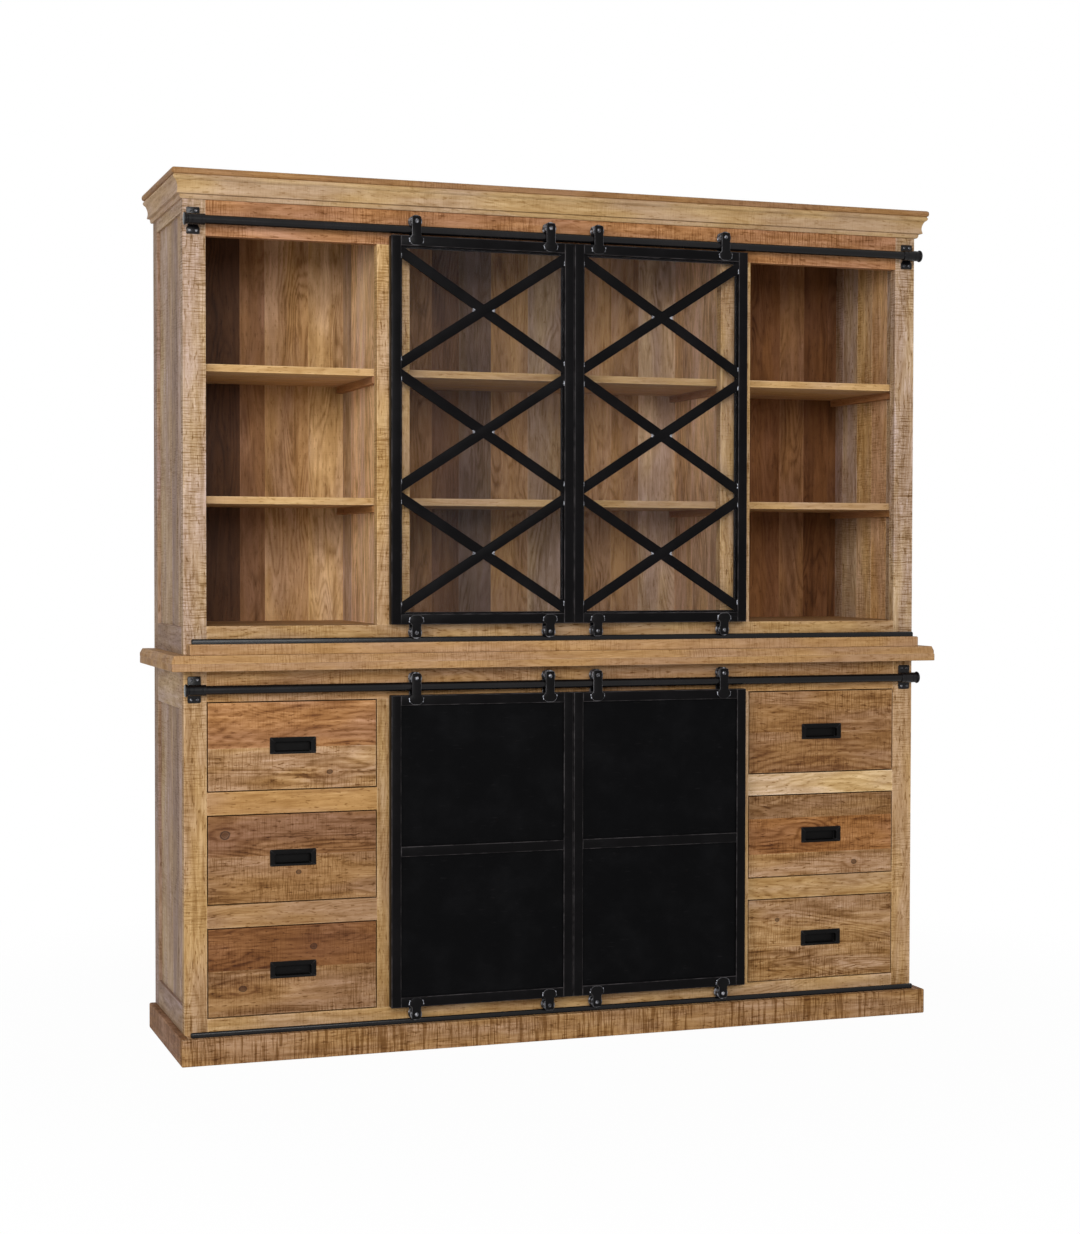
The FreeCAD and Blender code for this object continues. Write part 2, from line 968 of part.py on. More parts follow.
def pin(x, pin_height):
    """The axle of a wheel, with a domed head outside each strap."""
    front = door_front - strap_thickness
    back = door_back + strap_thickness
    shank = cylinder_y(pin_radius, (front, back), x, pin_height)
    front_end, back_end = front - pin_head_height, back + pin_head_height
    front_head = cylinder_y(pin_head_radius, (front_end, front), x, pin_height)
    back_head = cylinder_y(pin_head_radius, (back, back_end), x, pin_height)
    front_head = front_head.makeFillet(pin_head_round, edges_at(front_head, y=front_end))
    back_head = back_head.makeFillet(pin_head_round, edges_at(back_head, y=back_end))
    return shank.fuse(front_head).fuse(back_head).removeSplitter()


def wheel(x, pin_height):
    """A grooved wheel whose groove follows the rod with a small gap."""
    bore = pin_radius + fit_gap
    half_hub, half_rim = wheel_hub_width / 2, wheel_width / 2

    def at(radius, dy):
        return Vector(x + radius, rod_line + dy, pin_height)

    corners = [
        (wheel_flange_radius, wheel_groove_half),
        (wheel_flange_radius, half_rim),
        (wheel_hub_radius, half_rim),
        (wheel_hub_radius, half_hub),
        (bore, half_hub),
        (bore, -half_hub),
        (wheel_hub_radius, -half_hub),
        (wheel_hub_radius, -half_rim),
        (wheel_flange_radius, -half_rim),
        (wheel_flange_radius, -wheel_groove_half),
    ]
    edges = [Part.makeLine(at(*a), at(*b)) for a, b in zip(corners, corners[1:])]
    edges.append(
        Part.Arc(at(*corners[-1]), at(wheel_groove_radius, 0), at(*corners[0])).toShape()
    )
    section = Part.Face(Part.Wire(edges))
    return section.revolve(Vector(x, rod_line, pin_height), ALONG_Y, 360)


def wheel_places(side, bottom, top, rod_height, bar_top):
    """The name, X, pin height and door edge of a door's four wheels."""
    places = []
    ends = (
        ("outer", door_outer_edge - hanger_inset),
        ("inner", door_inner_edge + hanger_inset),
    )
    for end, away in ends:
        x = side * away
        places.append(("top_" + end, x, rod_height + rod_radius + roll_radius, top))
        places.append(("bottom_" + end, x, bar_top + roll_radius, bottom))
    return places


def hangers(places):
    """The straps and pins of a door's hangers and guides."""
    solids = []
    for _, x, pin_height, door_edge in places:
        solids.append(strap(x, pin_height, door_edge, door_front - strap_thickness))
        solids.append(strap(x, pin_height, door_edge, door_back))
        solids.append(pin(x, pin_height))
    return solids


def save_door(name, places, frame):
    save(name + "_frame", frame)
    save(name + "_hangers", hangers(places))
    for spot, x, pin_height, _ in places:
        save(name + "_wheel_" + spot, [wheel(x, pin_height)])


def save_glass_door(word, side):
    name = "glass_door_" + word
    places = wheel_places(
        side, glass_door_bottom, glass_door_top, upper_rod_height, upper_bar_top
    )
    frame = door_frame(side, glass_door_bottom, glass_door_top) + glazing_beads(side)
    save_door(name, places, frame)
    save(name + "_lattice", [lattice(side)])
    save(name + "_pane", [glass_pane(side)])


def save_steel_door(word, side):
    name = "steel_door_" + word
    places = wheel_places(
        side, steel_door_bottom, steel_door_top, lower_rod_height, lower_bar_top
    )
    frame = door_frame(side, steel_door_bottom, steel_door_top, mid_rail=True)
    save_door(name, places, frame)
    save(name + "_sheets", door_sheets(side))


# Drawers


def drawer_places(side, row):
    """The X spans of a drawer's front and box, its middle and its opening's height."""
    middle = side * (mid_stile_outer + outer_stile_inner) / 2
    half_front = side_bay_width / 2 - drawer_gap
    half_box = side_bay_width / 2 - drawer_box_gap
    return (
        (middle - half_front, middle + half_front),
        (middle - half_box, middle + half_box),
        middle,
        drawer_bottom(row),
    )


def pull_middle(bottom):
    return bottom + drawer_opening_height / 2


def drawer_front(side, row):
    """The front board, with the pocket that takes the pull's pan."""
    front_span, _, middle, bottom = drawer_places(side, row)
    front = case_front + drawer_setback
    board = box(
        front_span,
        (front, front + drawer_front_thickness),
        (bottom + drawer_gap, bottom + drawer_opening_height - drawer_gap),
    )
    half = pull_mouth_width / 2 + pull_wall + pull_seat_gap
    low = pull_middle(bottom) - pull_height / 2 + pull_rim - pull_wall - pull_seat_gap
    high = low + pull_pan_height + 2 * (pull_wall + pull_seat_gap)
    pocket = box(
        (middle - half, middle + half),
        (front - overrun, front + pull_pan_depth + pull_seat_gap),
        (low, high),
    )
    return board.cut(pocket)


def drawer(side, row):
    _, (x0, x1), _, opening = drawer_places(side, row)
    bottom = opening + drawer_seat_gap
    top = bottom + drawer_box_height
    front, back = drawer_box_front, drawer_box_back
    inner = (x0 + drawer_side_thickness, x1 - drawer_side_thickness)
    floor = bottom + drawer_bottom_rise
    back_board_front = back - drawer_side_thickness
    return [
        drawer_front(side, row),
        box((x0, inner[0]), (front, back), (bottom, top)),
        box((inner[1], x1), (front, back), (bottom, top)),
        box(inner, (back_board_front, back), (bottom, top)),
        box(inner, (front, back_board_front), (floor, floor + drawer_bottom_thickness)),
    ]


def pull(side, row):
    """A flange on the drawer's front with a pan behind its mouth."""
    _, _, middle, opening = drawer_places(side, row)
    front = case_front + drawer_setback
    low = pull_middle(opening) - pull_height / 2
    x_span = (middle - pull_width / 2, middle + pull_width / 2)
    z_span = (low, low + pull_height)
    flange = box(x_span, (front - pull_flange, front), z_span)
    corners = []
    for x in x_span:
        for z in z_span:
            corners += edges_at(flange, x=x, z=z)
    flange = flange.makeFillet(pull_corner, corners)
    half = pull_mouth_width / 2
    mouth_low = low + pull_rim
    pan = box(
        (middle - half - pull_wall, middle + half + pull_wall),
        (front, front + pull_pan_depth),
        (mouth_low - pull_wall, mouth_low + pull_pan_height + pull_wall),
    )
    inside = box(
        (middle - half, middle + half),
        (front, front + pull_pan_depth - pull_wall),
        (mouth_low, mouth_low + pull_pan_height),
    )
    mouth = box(
        (middle - half, middle + half),
        (front - pull_flange - overrun, front),
        (mouth_low, mouth_low + pull_mouth_height),
    )
    return flange.fuse(pan).cut(inside).cut(mouth).removeSplitter()


def drawer_runners():
    """Runners under the drawers and guides beside them; the lowest slide on the floor."""
    solids = []
    for _, side in SIDES:
        for row in range(drawer_rows):
            _, box_span, _, bottom = drawer_places(side, row)
            near, far = sorted(abs(x) for x in box_span)
            walls = ((divider_outer, near, 1), (side_inner, far, -1))
            for wall, edge, away in walls:
                guide = on_side(side, wall, edge - away * guide_gap)
                solids.append(inside_board(guide, (bottom, bottom + guide_height)))
                if row:
                    runner = on_side(side, wall, edge + away * runner_lap)
                    solids.append(inside_board(runner, (bottom - runner_height, bottom)))
    return solids


def save_drawers():
    for word, side in SIDES:
        for row, height in enumerate(("low", "middle", "high")):
            name = "drawer_" + word + "_" + height
            save(name, drawer(side, row))
            save(name + "_pull", [pull(side, row)])


save("plinth", plinth())
save("lower_face_frame", lower_face_frame())
save("lower_sides", lower_sides())
save("lower_partitions", lower_partitions())
save("lower_back", [back_panel(plinth_height, lower_case_top)])
save("drawer_runners", drawer_runners())
save("worktop", worktop())
save("upper_ledge", [upper_ledge()])
save("upper_face_frame", upper_face_frame())
save("upper_sides", upper_sides())
save("upper_partitions", upper_partitions())
save("upper_back", [back_panel(worktop_top, cap_bottom)])
save("shelves", shelves())
save("cornice", cornice())
save("rods", rod_and_caps(upper_rod_height) + rod_and_caps(lower_rod_height))
save("rod_brackets", rod_brackets())
save("bracket_screws", bracket_screws())
save("guide_bars", guide_bars())
for side_word, side_sign in SIDES:
    save_glass_door(side_word, side_sign)
    save_steel_door(side_word, side_sign)
save_drawers()
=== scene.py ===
import math
import random

import bmesh
import bpy
from mathutils import Matrix, Vector


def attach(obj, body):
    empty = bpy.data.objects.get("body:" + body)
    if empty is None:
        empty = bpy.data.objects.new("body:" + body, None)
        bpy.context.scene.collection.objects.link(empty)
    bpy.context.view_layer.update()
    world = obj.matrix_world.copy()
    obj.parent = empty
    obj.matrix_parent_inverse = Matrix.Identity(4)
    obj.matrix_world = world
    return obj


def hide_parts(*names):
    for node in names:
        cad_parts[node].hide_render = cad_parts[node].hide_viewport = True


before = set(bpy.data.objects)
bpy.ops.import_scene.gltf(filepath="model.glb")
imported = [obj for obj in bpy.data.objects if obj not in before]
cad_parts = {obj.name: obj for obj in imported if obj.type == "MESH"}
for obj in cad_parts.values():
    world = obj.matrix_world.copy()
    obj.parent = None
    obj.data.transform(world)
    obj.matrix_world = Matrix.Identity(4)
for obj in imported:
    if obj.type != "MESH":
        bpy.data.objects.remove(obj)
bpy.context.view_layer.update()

# Sizes in millimetres, in the cabinet's own frame: X right, Y into the cabinet, Z up.
MM = 0.001
case_half, case_front, case_back = 1007.0, -190.5, 250.5
frame_back, back_front = case_front + 28.0, case_back - 12.0
outer_stile_inner, mid_stile_outer, mid_stile_inner = 950.0, 515.5, 430.0
side_inner, divider_outer, divider_inner = case_half - 20.0, 497.0, 477.0
board, rail_height, stile_width = 20.0, 57.0, 57.0

plinth_top, plinth_reach, plinth_front = 66.5, case_half + 16.5, case_front - 53.5
drawer_floor, drawer_pitch, drawer_opening = 104.5, 281.5, 224.5
drawer_ceiling, lower_top = drawer_floor + 3 * drawer_pitch - rail_height, 970.5
worktop_joint, worktop_top, worktop_half, worktop_front = 989.5, 1009.5, 1045.5, -250.5
ledge_top, ledge_half, ledge_front = 1036.5, 1000.0, case_front - 50.0
bay_floor, bay_ceiling = 1079.5, 2040.0
shelf_rise, shelf_spacing, shelf_thickness = 303.8, 327.7, 18.5
moulding_bottom, cap_bottom, top, cap_reach = 2127.9, 2184.3, 2200.0, 31.0

rod_line, rod_radius, rod_end = case_front - 29.5, 11.0, 1000.0
upper_rod, lower_rod, bracket_middle = 2075.2, 923.4, 981.5
bar_height, bar_thickness, roll_radius = 13.0, 10.0, 10.7

door_outer, door_inner, tube_width, tube_depth = 489.0, 0.75, 26.0, 25.0
door_front, door_back = rod_line - tube_depth / 2, rod_line + tube_depth / 2
glass_bottom, glass_top, steel_bottom, steel_top = 1081.0, 2060.0, 108.5, 902.0
lattice_width, lattice_lap, lattice_front = 26.0, 2.0, door_front + 3.0
strap_thickness, strap_from_edge = 3.0, 65.0
pull_half, pull_height = 48.0, 42.0

SIDES = (("left", -1), ("right", 1))
FORWARD, UP, ORIGIN = (0, -1, 0), (0, 0, 1), (0, 0, 0)


# Node trees


def operator(kind, swapped=False):
    """A method of Amount that adds one Math node."""

    def method(self, *others):
        values = (*others, self) if swapped else (self, *others)
        return self.tree.node("ShaderNodeMath", {"operation": kind}, values)

    return method


class Amount:
    """One output in a node tree, with Python arithmetic that adds Math nodes."""

    __add__, __radd__ = operator("ADD"), operator("ADD", True)
    __sub__, __rsub__ = operator("SUBTRACT"), operator("SUBTRACT", True)
    __mul__, __rmul__ = operator("MULTIPLY"), operator("MULTIPLY", True)
    __truediv__, __pow__, __abs__ = operator("DIVIDE"), operator("POWER"), operator("ABSOLUTE")
    sine, least, most = operator("SINE"), operator("MINIMUM"), operator("MAXIMUM")

    def __init__(self, tree, socket):
        self.tree, self.socket = tree, socket

    def outputs(self):
        return [Amount(self.tree, socket) for socket in self.socket.node.outputs]

    def from_to(self, low, high, start=0.0, end=1.0):
        """This value's range from low to high becomes start to end, smoothly and clamped."""
        settings = {"interpolation_type": "SMOOTHSTEP", "clamp": True}
        return self.tree.node("ShaderNodeMapRange", settings, (self, low, high, start, end))


class NodeTree:
    """A node tree that is filled by one method."""

    def __init__(self, tree):
        self.tree = tree

    def node(self, kind, settings=None, inputs=(), output=0):
        """Adds a node; an input is a value, an Amount, or a list of Amounts."""
        made = self.tree.nodes.new(kind)
        for name, value in (settings or {}).items():
            setattr(made, name, value)
        for key, value in inputs.items() if isinstance(inputs, dict) else enumerate(inputs):
            if isinstance(value, (Amount, list)):
                for amount in value if isinstance(value, list) else [value]:
                    self.tree.links.new(amount.socket, made.inputs[key])
            elif value is not None:
                made.inputs[key].default_value = value
        return Amount(self, made.outputs[output] if made.outputs else None)


class Finish(NodeTree):
    """A material, built from its nodes."""

    def __init__(self, name):
        self.material = bpy.data.materials.new(name)
        self.material.use_nodes = True
        super().__init__(self.material.node_tree)
        self.tree.nodes.clear()

    def attribute(self, name, output):
        return self.node("ShaderNodeAttribute", {"attribute_name": name}, output=output)

    def places(self):
        return self.node("ShaderNodeTexCoord", output="Object")

    def noise(self, vector, scale, detail=2.0, roughness=0.5, distortion=0.0):
        """Smooth noise, with one cell count a metre for each direction of the vector."""
        scaled = self.node("ShaderNodeVectorMath", {"operation": "MULTIPLY"}, (vector, scale))
        inputs = {"Vector": scaled, "Scale": 1.0, "Detail": detail, "Roughness": roughness,
                  "Distortion": distortion}
        return self.node("ShaderNodeTexNoise", inputs=inputs)

    def parts(self, vector):
        return self.node("ShaderNodeSeparateXYZ", inputs=(vector,)).outputs()

    def mix(self, share, a, b, blend="MIX"):
        settings = {"data_type": "RGBA", "blend_type": blend}
        return self.node("ShaderNodeMix", settings, {0: share, 6: a, 7: b}, output=2)

    def shaded(self, colour, light, shift=1.0):
        """The colour made lighter and paler, or darker and browner."""
        inputs = (light, light ** (1 + 0.3 * shift), light ** (1 + 0.9 * shift))
        shades = self.node("ShaderNodeCombineColor", inputs=inputs)
        return self.mix(1.0, colour, shades, "MULTIPLY")

    def bump(self, height, strength, distance):
        inputs = {"Strength": strength, "Distance": distance, "Height": height}
        return self.node("ShaderNodeBump", inputs=inputs)

    def surface(self, **inputs):
        """Ends the material in the surface shader; inputs are its sockets with _ for a space."""
        named = {key.replace("_", " "): value for key, value in inputs.items()}
        shader = self.node("ShaderNodeBsdfPrincipled", inputs=named)
        self.node("ShaderNodeOutputMaterial", inputs={"Surface": shader})
        return self.material


def colour(*screen):
    """A colour given as on a screen, 0 to 255, as the renderer's linear values."""
    shares = [value / 255 for value in screen]
    linear = [v / 12.92 if v <= 0.04045 else ((v + 0.055) / 1.055) ** 2.4 for v in shares]
    return (*linear, 1.0)


# Finishes


def waxed_wood(name, figure, streaks, grit, clouds=1.0):
    """Waxed mango-like wood on each board's own grain, with rings, knots and saw marks."""
    wood = Finish(name)
    grain = wood.attribute("grain", "Vector")
    tone = wood.attribute("tone", "Color")
    sawn = wood.attribute("sawn", "Fac")

    def cells(along, across, detail=2.0, roughness=0.5, distortion=0.0):
        """Noise with so many cells a metre along and across the grain."""
        return wood.noise(grain, (along, across, across), detail, roughness, distortion)

    along = wood.parts(grain)[0]
    half = wood.parts(wood.attribute("half_size", "Vector"))
    middle = wood.parts(wood.attribute("from_middle", "Vector"))
    knot_along, knot_across, knot_size = wood.parts(wood.attribute("knot", "Vector"))

    warp = cells(22, 45, 3.0) - 0.5
    off_along, off_across = middle[0] - knot_along, middle[1] - knot_across
    size = knot_size + 0.0001
    distance = ((off_along * 0.42) ** 2.0 + off_across ** 2.0) ** 0.5
    swirl = (distance / size + warp * 1.6).from_to(0.6, 6.5, 1.0, 0.0)
    near = ((off_along * 0.8) ** 2.0 + off_across ** 2.0) ** 0.5 / size + warp * 1.3
    knot = near.from_to(0.7, 1.05, 1.0, 0.0)
    knot_rim = near.from_to(1.0, 1.4, 1.0, 0.0) - knot * 0.7
    knot_rings = (near * 14.0).sine() * 0.5 + 0.5

    fibre = cells(7, 80, 4.0, 0.76)
    flow = cells(1.3, 8, 2.5, 0.5, 0.5)
    straight = (flow * 150.0 + fibre * 5.0).sine()
    round_knot = (distance * 430.0 + warp * 6.0 + fibre * 2.0).sine()
    ring_wave = (straight * (1.0 - swirl) + round_knot * swirl) * 0.5 + 0.5
    ring_fade = cells(3, 12).from_to(0.3, 0.62)
    rings = ring_wave ** 2.0 * (ring_fade + swirl * 0.5).least(1.0)

    blotch = cells(9, 34, 5.0, 0.66, 0.9)
    zone = cells(2.2, 12, 3.0, 0.55, 0.4)
    streak = cells(2.4, 46, 4.0, 0.6).from_to(0.52, 0.74)
    speck = cells(48, 210, 3.0).from_to(0.58, 0.7)

    tremble = cells(20, 16)
    teeth = (along * 860.0 + tremble * 13.0).sine() * 0.5 + 0.5
    broken = cells(110, 40, 3.0, 0.7).from_to(0.42, 0.62)
    kerf = cells(460, 14, 2.0, 0.6).from_to(0.5, 0.66)
    saw_patch = cells(6, 15).from_to(0.34, 0.6)
    deep = cells(150, 7, 2.5, 0.62).from_to(0.5, 0.62)
    saw_marks = (teeth ** 4.0 * broken).most(kerf) * saw_patch * sawn.least(1.0)
    saw_marks = saw_marks.most(deep * (sawn - 1.0).most(0.0) * 1.3)

    # A paler band along each board's edges, in patches: partly rubbed wear, partly a painted edge
    # highlight.
    gaps = [size - abs(place) for size, place in zip(half, middle)]
    to_edge = gaps[0].least(gaps[1]).most(gaps[0].most(gaps[1]).least(gaps[2]))
    worn_and_highlit_edge = to_edge.from_to(0.001, 0.0036, 1.0, 0.0) * blotch.from_to(0.36, 0.54)

    golden, smoky = (1.06, 1.02, 0.82, 1), (0.98, 0.965, 1.01, 1)
    shift = cells(3.4, 15).from_to(0.36, 0.64)
    base = wood.mix(1.0, tone, wood.mix(shift, golden, smoky), "MULTIPLY")
    light = 1.15 + figure * 0.1 - rings * (0.5 * figure) - (fibre - 0.5) * grit
    light = light - (blotch - 0.5) * (1.6 * figure) - (zone - 0.5) * (clouds * figure)
    light = light * (1.0 - streak * streaks) * (1.0 - speck * (0.3 * grit))
    light = light * (1.0 - saw_marks * 0.55) + worn_and_highlit_edge * 0.22
    shaded = wood.shaded(base, light.most(0.12), 1.0 / clouds ** 0.5)
    shaded = wood.mix(swirl * 0.2, shaded, colour(120, 74, 48))
    shaded = wood.mix(knot_rim * 0.9, shaded, colour(44, 26, 16))
    shaded = wood.mix(knot * (0.15 + knot_rings * 0.5), shaded, colour(60, 35, 21))

    height = fibre * 0.8 - rings * 0.3 - saw_marks * 1.2 - speck * 0.5 - knot * 0.4
    return wood.surface(
        Base_Color=shaded,
        Roughness=0.5 + fibre * 0.16 + saw_marks * 0.2 - knot * 0.1,
        Specular_IOR_Level=0.18,
        Normal=wood.bump(height, 0.45, 0.0012),
    )


# Edge tints of the black paint: partly rubbed-through wear, partly a painted highlight along the
# edges.
RUBBED_AND_HIGHLIT_EDGE, BRIGHT_WORN_AND_HIGHLIT_EDGE = colour(104, 99, 100), colour(188, 186, 190)


def black_paint(name, base, rough, gloss, edge_wear_and_highlight=0.6, mottle=0.16, edge=RUBBED_AND_HIGHLIT_EDGE):
    """Satin black paint on worked steel, dusty in patches and paler along its edges: partly rubbed
    wear, partly a painted highlight.
    """
    paint = Finish("black_%s_paint" % name)
    rim = paint.attribute("rim", "Fac")
    place = paint.places()
    cloud = paint.noise(place, (9, 9, 9), 5.0, 0.62)
    speck = paint.noise(place, (420, 420, 420))
    scratch = paint.noise(place, (30, 30, 480)).from_to(0.66, 0.8)
    dusty = (*(value * 1.7 + 0.001 for value in base[:3]), 1)
    tint = paint.mix(cloud.from_to(0.42, 0.78), base, dusty)
    tint = paint.mix(scratch * 0.25, tint, colour(58, 56, 58))
    patchy = paint.noise(place, (26, 26, 26), 3.0, 0.6)
    # Rounded edges take the edge tint in patches: partly rubbed wear, partly a painted highlight.
    tint = paint.mix(rim * patchy.from_to(0.36, 0.66, 0.08, edge_wear_and_highlight), tint, edge)
    return paint.surface(
        Base_Color=tint,
        Roughness=rough + (cloud - 0.5) * mottle * 2 + speck * 0.06,
        Specular_IOR_Level=gloss,
        Normal=paint.bump(speck * 0.5 + cloud * 0.8 + scratch * 0.3, 0.25, 0.0006),
    )


def bare_metal(name, grain, detail, roughness, span, tints, metallic, strength, distance):
    """Unpainted metal, from dark to bright in small patches."""
    metal = Finish(name)
    cloud = metal.noise(metal.places(), (grain,) * 3, detail, roughness)
    return metal.surface(
        Base_Color=metal.mix(cloud.from_to(*span), *tints),
        Metallic=metallic,
        Roughness=0.3 + cloud * 0.2,
        Normal=metal.bump(cloud, strength, distance),
    )


def clear_glass():
    """Clear glass that looks dark against the cabinet's inside, with a faint film on it."""
    glass = Finish("clear_glass")
    film = glass.noise(glass.places(), (5, 5, 3), 4.0, 0.6)
    return glass.surface(
        Base_Color=glass.mix(film, colour(30, 30, 32), colour(84, 84, 88)),
        Roughness=0.04 + film * 0.05,
        Alpha=0.02 + film * 0.09,
        Specular_IOR_Level=0.4,
    )


planed = waxed_wood("planed_wood", 0.3, 0.1, 1.0)
sawn_boards = waxed_wood("sawn_wood", 0.5, 0.2, 1.6)
calm_boards = waxed_wood("calm_wood", 0.8, 0.3, 0.9, clouds=1.6)
figured = waxed_wood("figured_wood", 1.15, 0.45, 1.9)
# The fifth value of each black paint sets how far its edge tint shows, partly rubbed wear and partly a
# painted highlight; the hangers get the brightest tint.
frame_black = black_paint("door", colour(8, 7, 8), 0.32, 0.05, 0.45)
rod_black = black_paint("rod", colour(11, 9, 10), 0.22, 0.2, 0.5)
hanger_black = black_paint("hanger", colour(7, 6, 7), 0.3, 0.08, 0.95, edge=BRIGHT_WORN_AND_HIGHLIT_EDGE)
sheet_black = black_paint("sheet", colour(7, 7, 8), 0.45, 0.03, mottle=0.2)
pull_black = black_paint("pull", colour(8, 7, 7), 0.42, 0.08, 0.2)
weld_tints = colour(34, 33, 37), colour(176, 178, 186)
weld_metal = bare_metal("bare_weld_metal", 260, 3.0, 0.5, (0.35, 0.65), weld_tints, 0.9, 0.5, 0.0008)
steel_tints = colour(46, 46, 49), colour(168, 168, 174)
wheel_steel = bare_metal("rubbed_steel", 150, 4.0, 0.6, (0.42, 0.72), steel_tints, 0.75, 0.2, 0.0005)
glass_finish = clear_glass()

# The wood's tones, as on a screen
TONES = {
    "parchment": (212, 174, 136), "wheat": (184, 143, 101), "pale": (194, 162, 122),
    "butter": (168, 138, 102), "honey": (176, 141, 100),
    "tan": (172, 144, 117), "sand": (170, 135, 94), "peach": (164, 116, 78),
    "gold": (156, 116, 72), "amber": (155, 109, 69), "straw": (158, 121, 83),
    "rust": (144, 97, 56), "umber": (139, 102, 66), "brown": (126, 88, 57),
    "russet": (110, 70, 39), "walnut": (104, 72, 48), "grey": (154, 127, 105),
    "fawn": (176, 145, 117), "mauve": (144, 117, 98), "ash": (116, 92, 74),
    "dusk": (92, 57, 31), "dark": (72, 43, 21),
}


def tint(tone, chance, spread):
    """A tone's colour, a little lighter or darker by chance."""
    return [*(Vector(colour(*TONES[tone])[:3]) * chance.uniform(1 - spread, 1 + spread)), 1]


# Boards

NO_KNOT = (900.0, 900.0, 0.0)
# The attributes of a point on a board: its kind and the member of its values
FIELDS = {
    "grain": ("FLOAT_VECTOR", "vector"), "tone": ("FLOAT_COLOR", "color"), "sawn": ("FLOAT", "value"),
    "half_size": ("FLOAT_VECTOR", "vector"), "from_middle": ("FLOAT_VECTOR", "vector"),
    "knot": ("FLOAT_VECTOR", "vector"), "facing": ("FLOAT_VECTOR", "vector"),
}


def set_fields(mesh, fields):
    """Gives each point of a mesh its value in every named field."""
    for name, values in fields.items():
        kind, member = FIELDS[name]
        flat = values if kind == "FLOAT" else [part for value in values for part in value]
        mesh.attributes.new(name, kind, "POINT").data.foreach_set(member, flat)


def linked(name, data):
    made = bpy.data.objects.new(name, data)
    bpy.context.scene.collection.objects.link(made)
    return made


def placed(mesh, name, material, body, slot, nodes=()):
    """Puts a mesh into the scene as a piece that rides on a body."""
    piece = linked(name, mesh)
    mesh.materials.clear()
    mesh.materials.append(material)
    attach(piece, body)
    if nodes:
        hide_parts(*nodes)
    return piece


def x_side(side, near, far):
    return sorted((side * near, side * far))


def both_ends(low, high, width):
    """The first and the last part of a span, each of one width."""
    return (low, low + width), (high - width, high)


def rounded(form, lines, edge, segments=2):
    if edge:
        bmesh.ops.bevel(
            form, geom=lines, offset=edge, segments=segments, profile=0.5, affect="EDGES"
        )


def taken(form):
    """The corners and faces of a form, which is then let go."""
    form.verts.index_update()
    verts = [vert.co.copy() for vert in form.verts]
    faces = [[vert.index for vert in face.verts] for face in form.faces]
    form.free()
    return verts, faces


def block_form(block):
    form = bmesh.new()
    bmesh.ops.create_cube(form, size=1)
    for vert in form.verts:
        vert.co = [high if value > 0 else low for value, (low, high) in zip(vert.co, block)]
    return form


class Boards:
    """Collects the boards of one piece; each has its own grain, tone and saw marks."""

    def __init__(self, name):
        self.name = name
        self.chance = random.Random(name)
        self.verts, self.faces = [], []
        self.fields = {key: [] for key in FIELDS if key != "facing"}

    def box(self, x_span, y_span, z_span, along, tone, sawn=0.3, edge=1.2, hole=None, knot=NO_KNOT):
        """One board. along is the axis of its grain; hole is a rectangle left out of its face."""
        spans = [sorted(span) for span in (x_span, y_span, z_span)]
        shapes = []
        for block in [spans] if hole is None else around_hole(spans, hole):
            form = block_form(block)
            rounded(form, [line for line in form.edges if on_rim(line, spans)], edge)
            shapes.append(taken(form))
        self.add(shapes, spans, along, tone, sawn, knot)

    def add(self, shapes, spans, along, tone, sawn, knot=NO_KNOT):
        """knot is its place along and across the board from the middle, and its radius."""
        middle = Vector([(low + high) / 2 for low, high in spans])
        half = Vector([(high - low) / 2 for low, high in spans])
        axis = "xyz".index(along)
        order = [axis] + sorted((i for i in range(3) if i != axis), key=lambda i: -half[i])
        shift = Vector([self.chance.uniform(-9, 9) for _ in range(3)])
        base = tint(tone, self.chance, 0.07)
        for verts, faces in shapes:
            start = len(self.verts)
            self.faces += [[start + i for i in face] for face in faces]
            for place in verts:
                local = (place - middle) * MM
                self.verts.append(place * MM)
                values = {
                    "grain": [local[i] + shift[i] for i in order],
                    "tone": base,
                    "sawn": sawn,
                    "half_size": [half[i] * MM for i in order],
                    "from_middle": [local[i] for i in order],
                    "knot": [value * MM for value in knot],
                }
                for key, value in values.items():
                    self.fields[key].append(value)

    def finish(self, material, slot, *nodes, body="carcass"):
        mesh = bpy.data.meshes.new(self.name)
        mesh.from_pydata(self.verts, [], self.faces)
        set_fields(mesh, self.fields)
        return placed(mesh, self.name, material, body, slot, nodes)


def around_hole(spans, hole):
    """The blocks of a board that lie round a rectangular hole through its thickness."""
    (x0, x1), y_span, (z0, z1) = spans
    (a0, a1), (c0, c1) = hole
    a0, a1, c0, c1 = max(a0, x0), min(a1, x1), max(c0, z0), min(c1, z1)
    if c0 >= c1 or a0 >= a1:
        return [spans]
    blocks = [((x0, a0), (z0, z1)), ((a1, x1), (z0, z1)), ((a0, a1), (z0, c0)), ((a0, a1), (c1, z1))]
    return [
        [xs, y_span, zs] for xs, zs in blocks if xs[1] - xs[0] > 0.01 and zs[1] - zs[0] > 0.01
    ]


def on_rim(line, whole):
    """Whether an edge lies on an edge of the whole board, so that only those are rounded."""
    a, b = [vert.co for vert in line.verts]
    on = 0
    for i, (low, high) in enumerate(whole):
        level = abs(a[i] - b[i]) < 0.01
        on += level and min(abs(a[i] - low), abs(a[i] - high)) < 0.01
    return on == 2


# Metal and other shaped pieces


def skin(rings, closed_ends=True):
    """A form of faces from ring to ring of points, with a face at each end."""
    form = bmesh.new()
    made = [[form.verts.new(spot) for spot in ring] for ring in rings]
    for lower, upper in zip(made, made[1:]):
        for i in range(len(lower)):
            j = (i + 1) % len(lower)
            form.faces.new((lower[i], lower[j], upper[j], upper[i]))
    if closed_ends:
        form.faces.new(made[0])
        form.faces.new(made[-1])
    return form


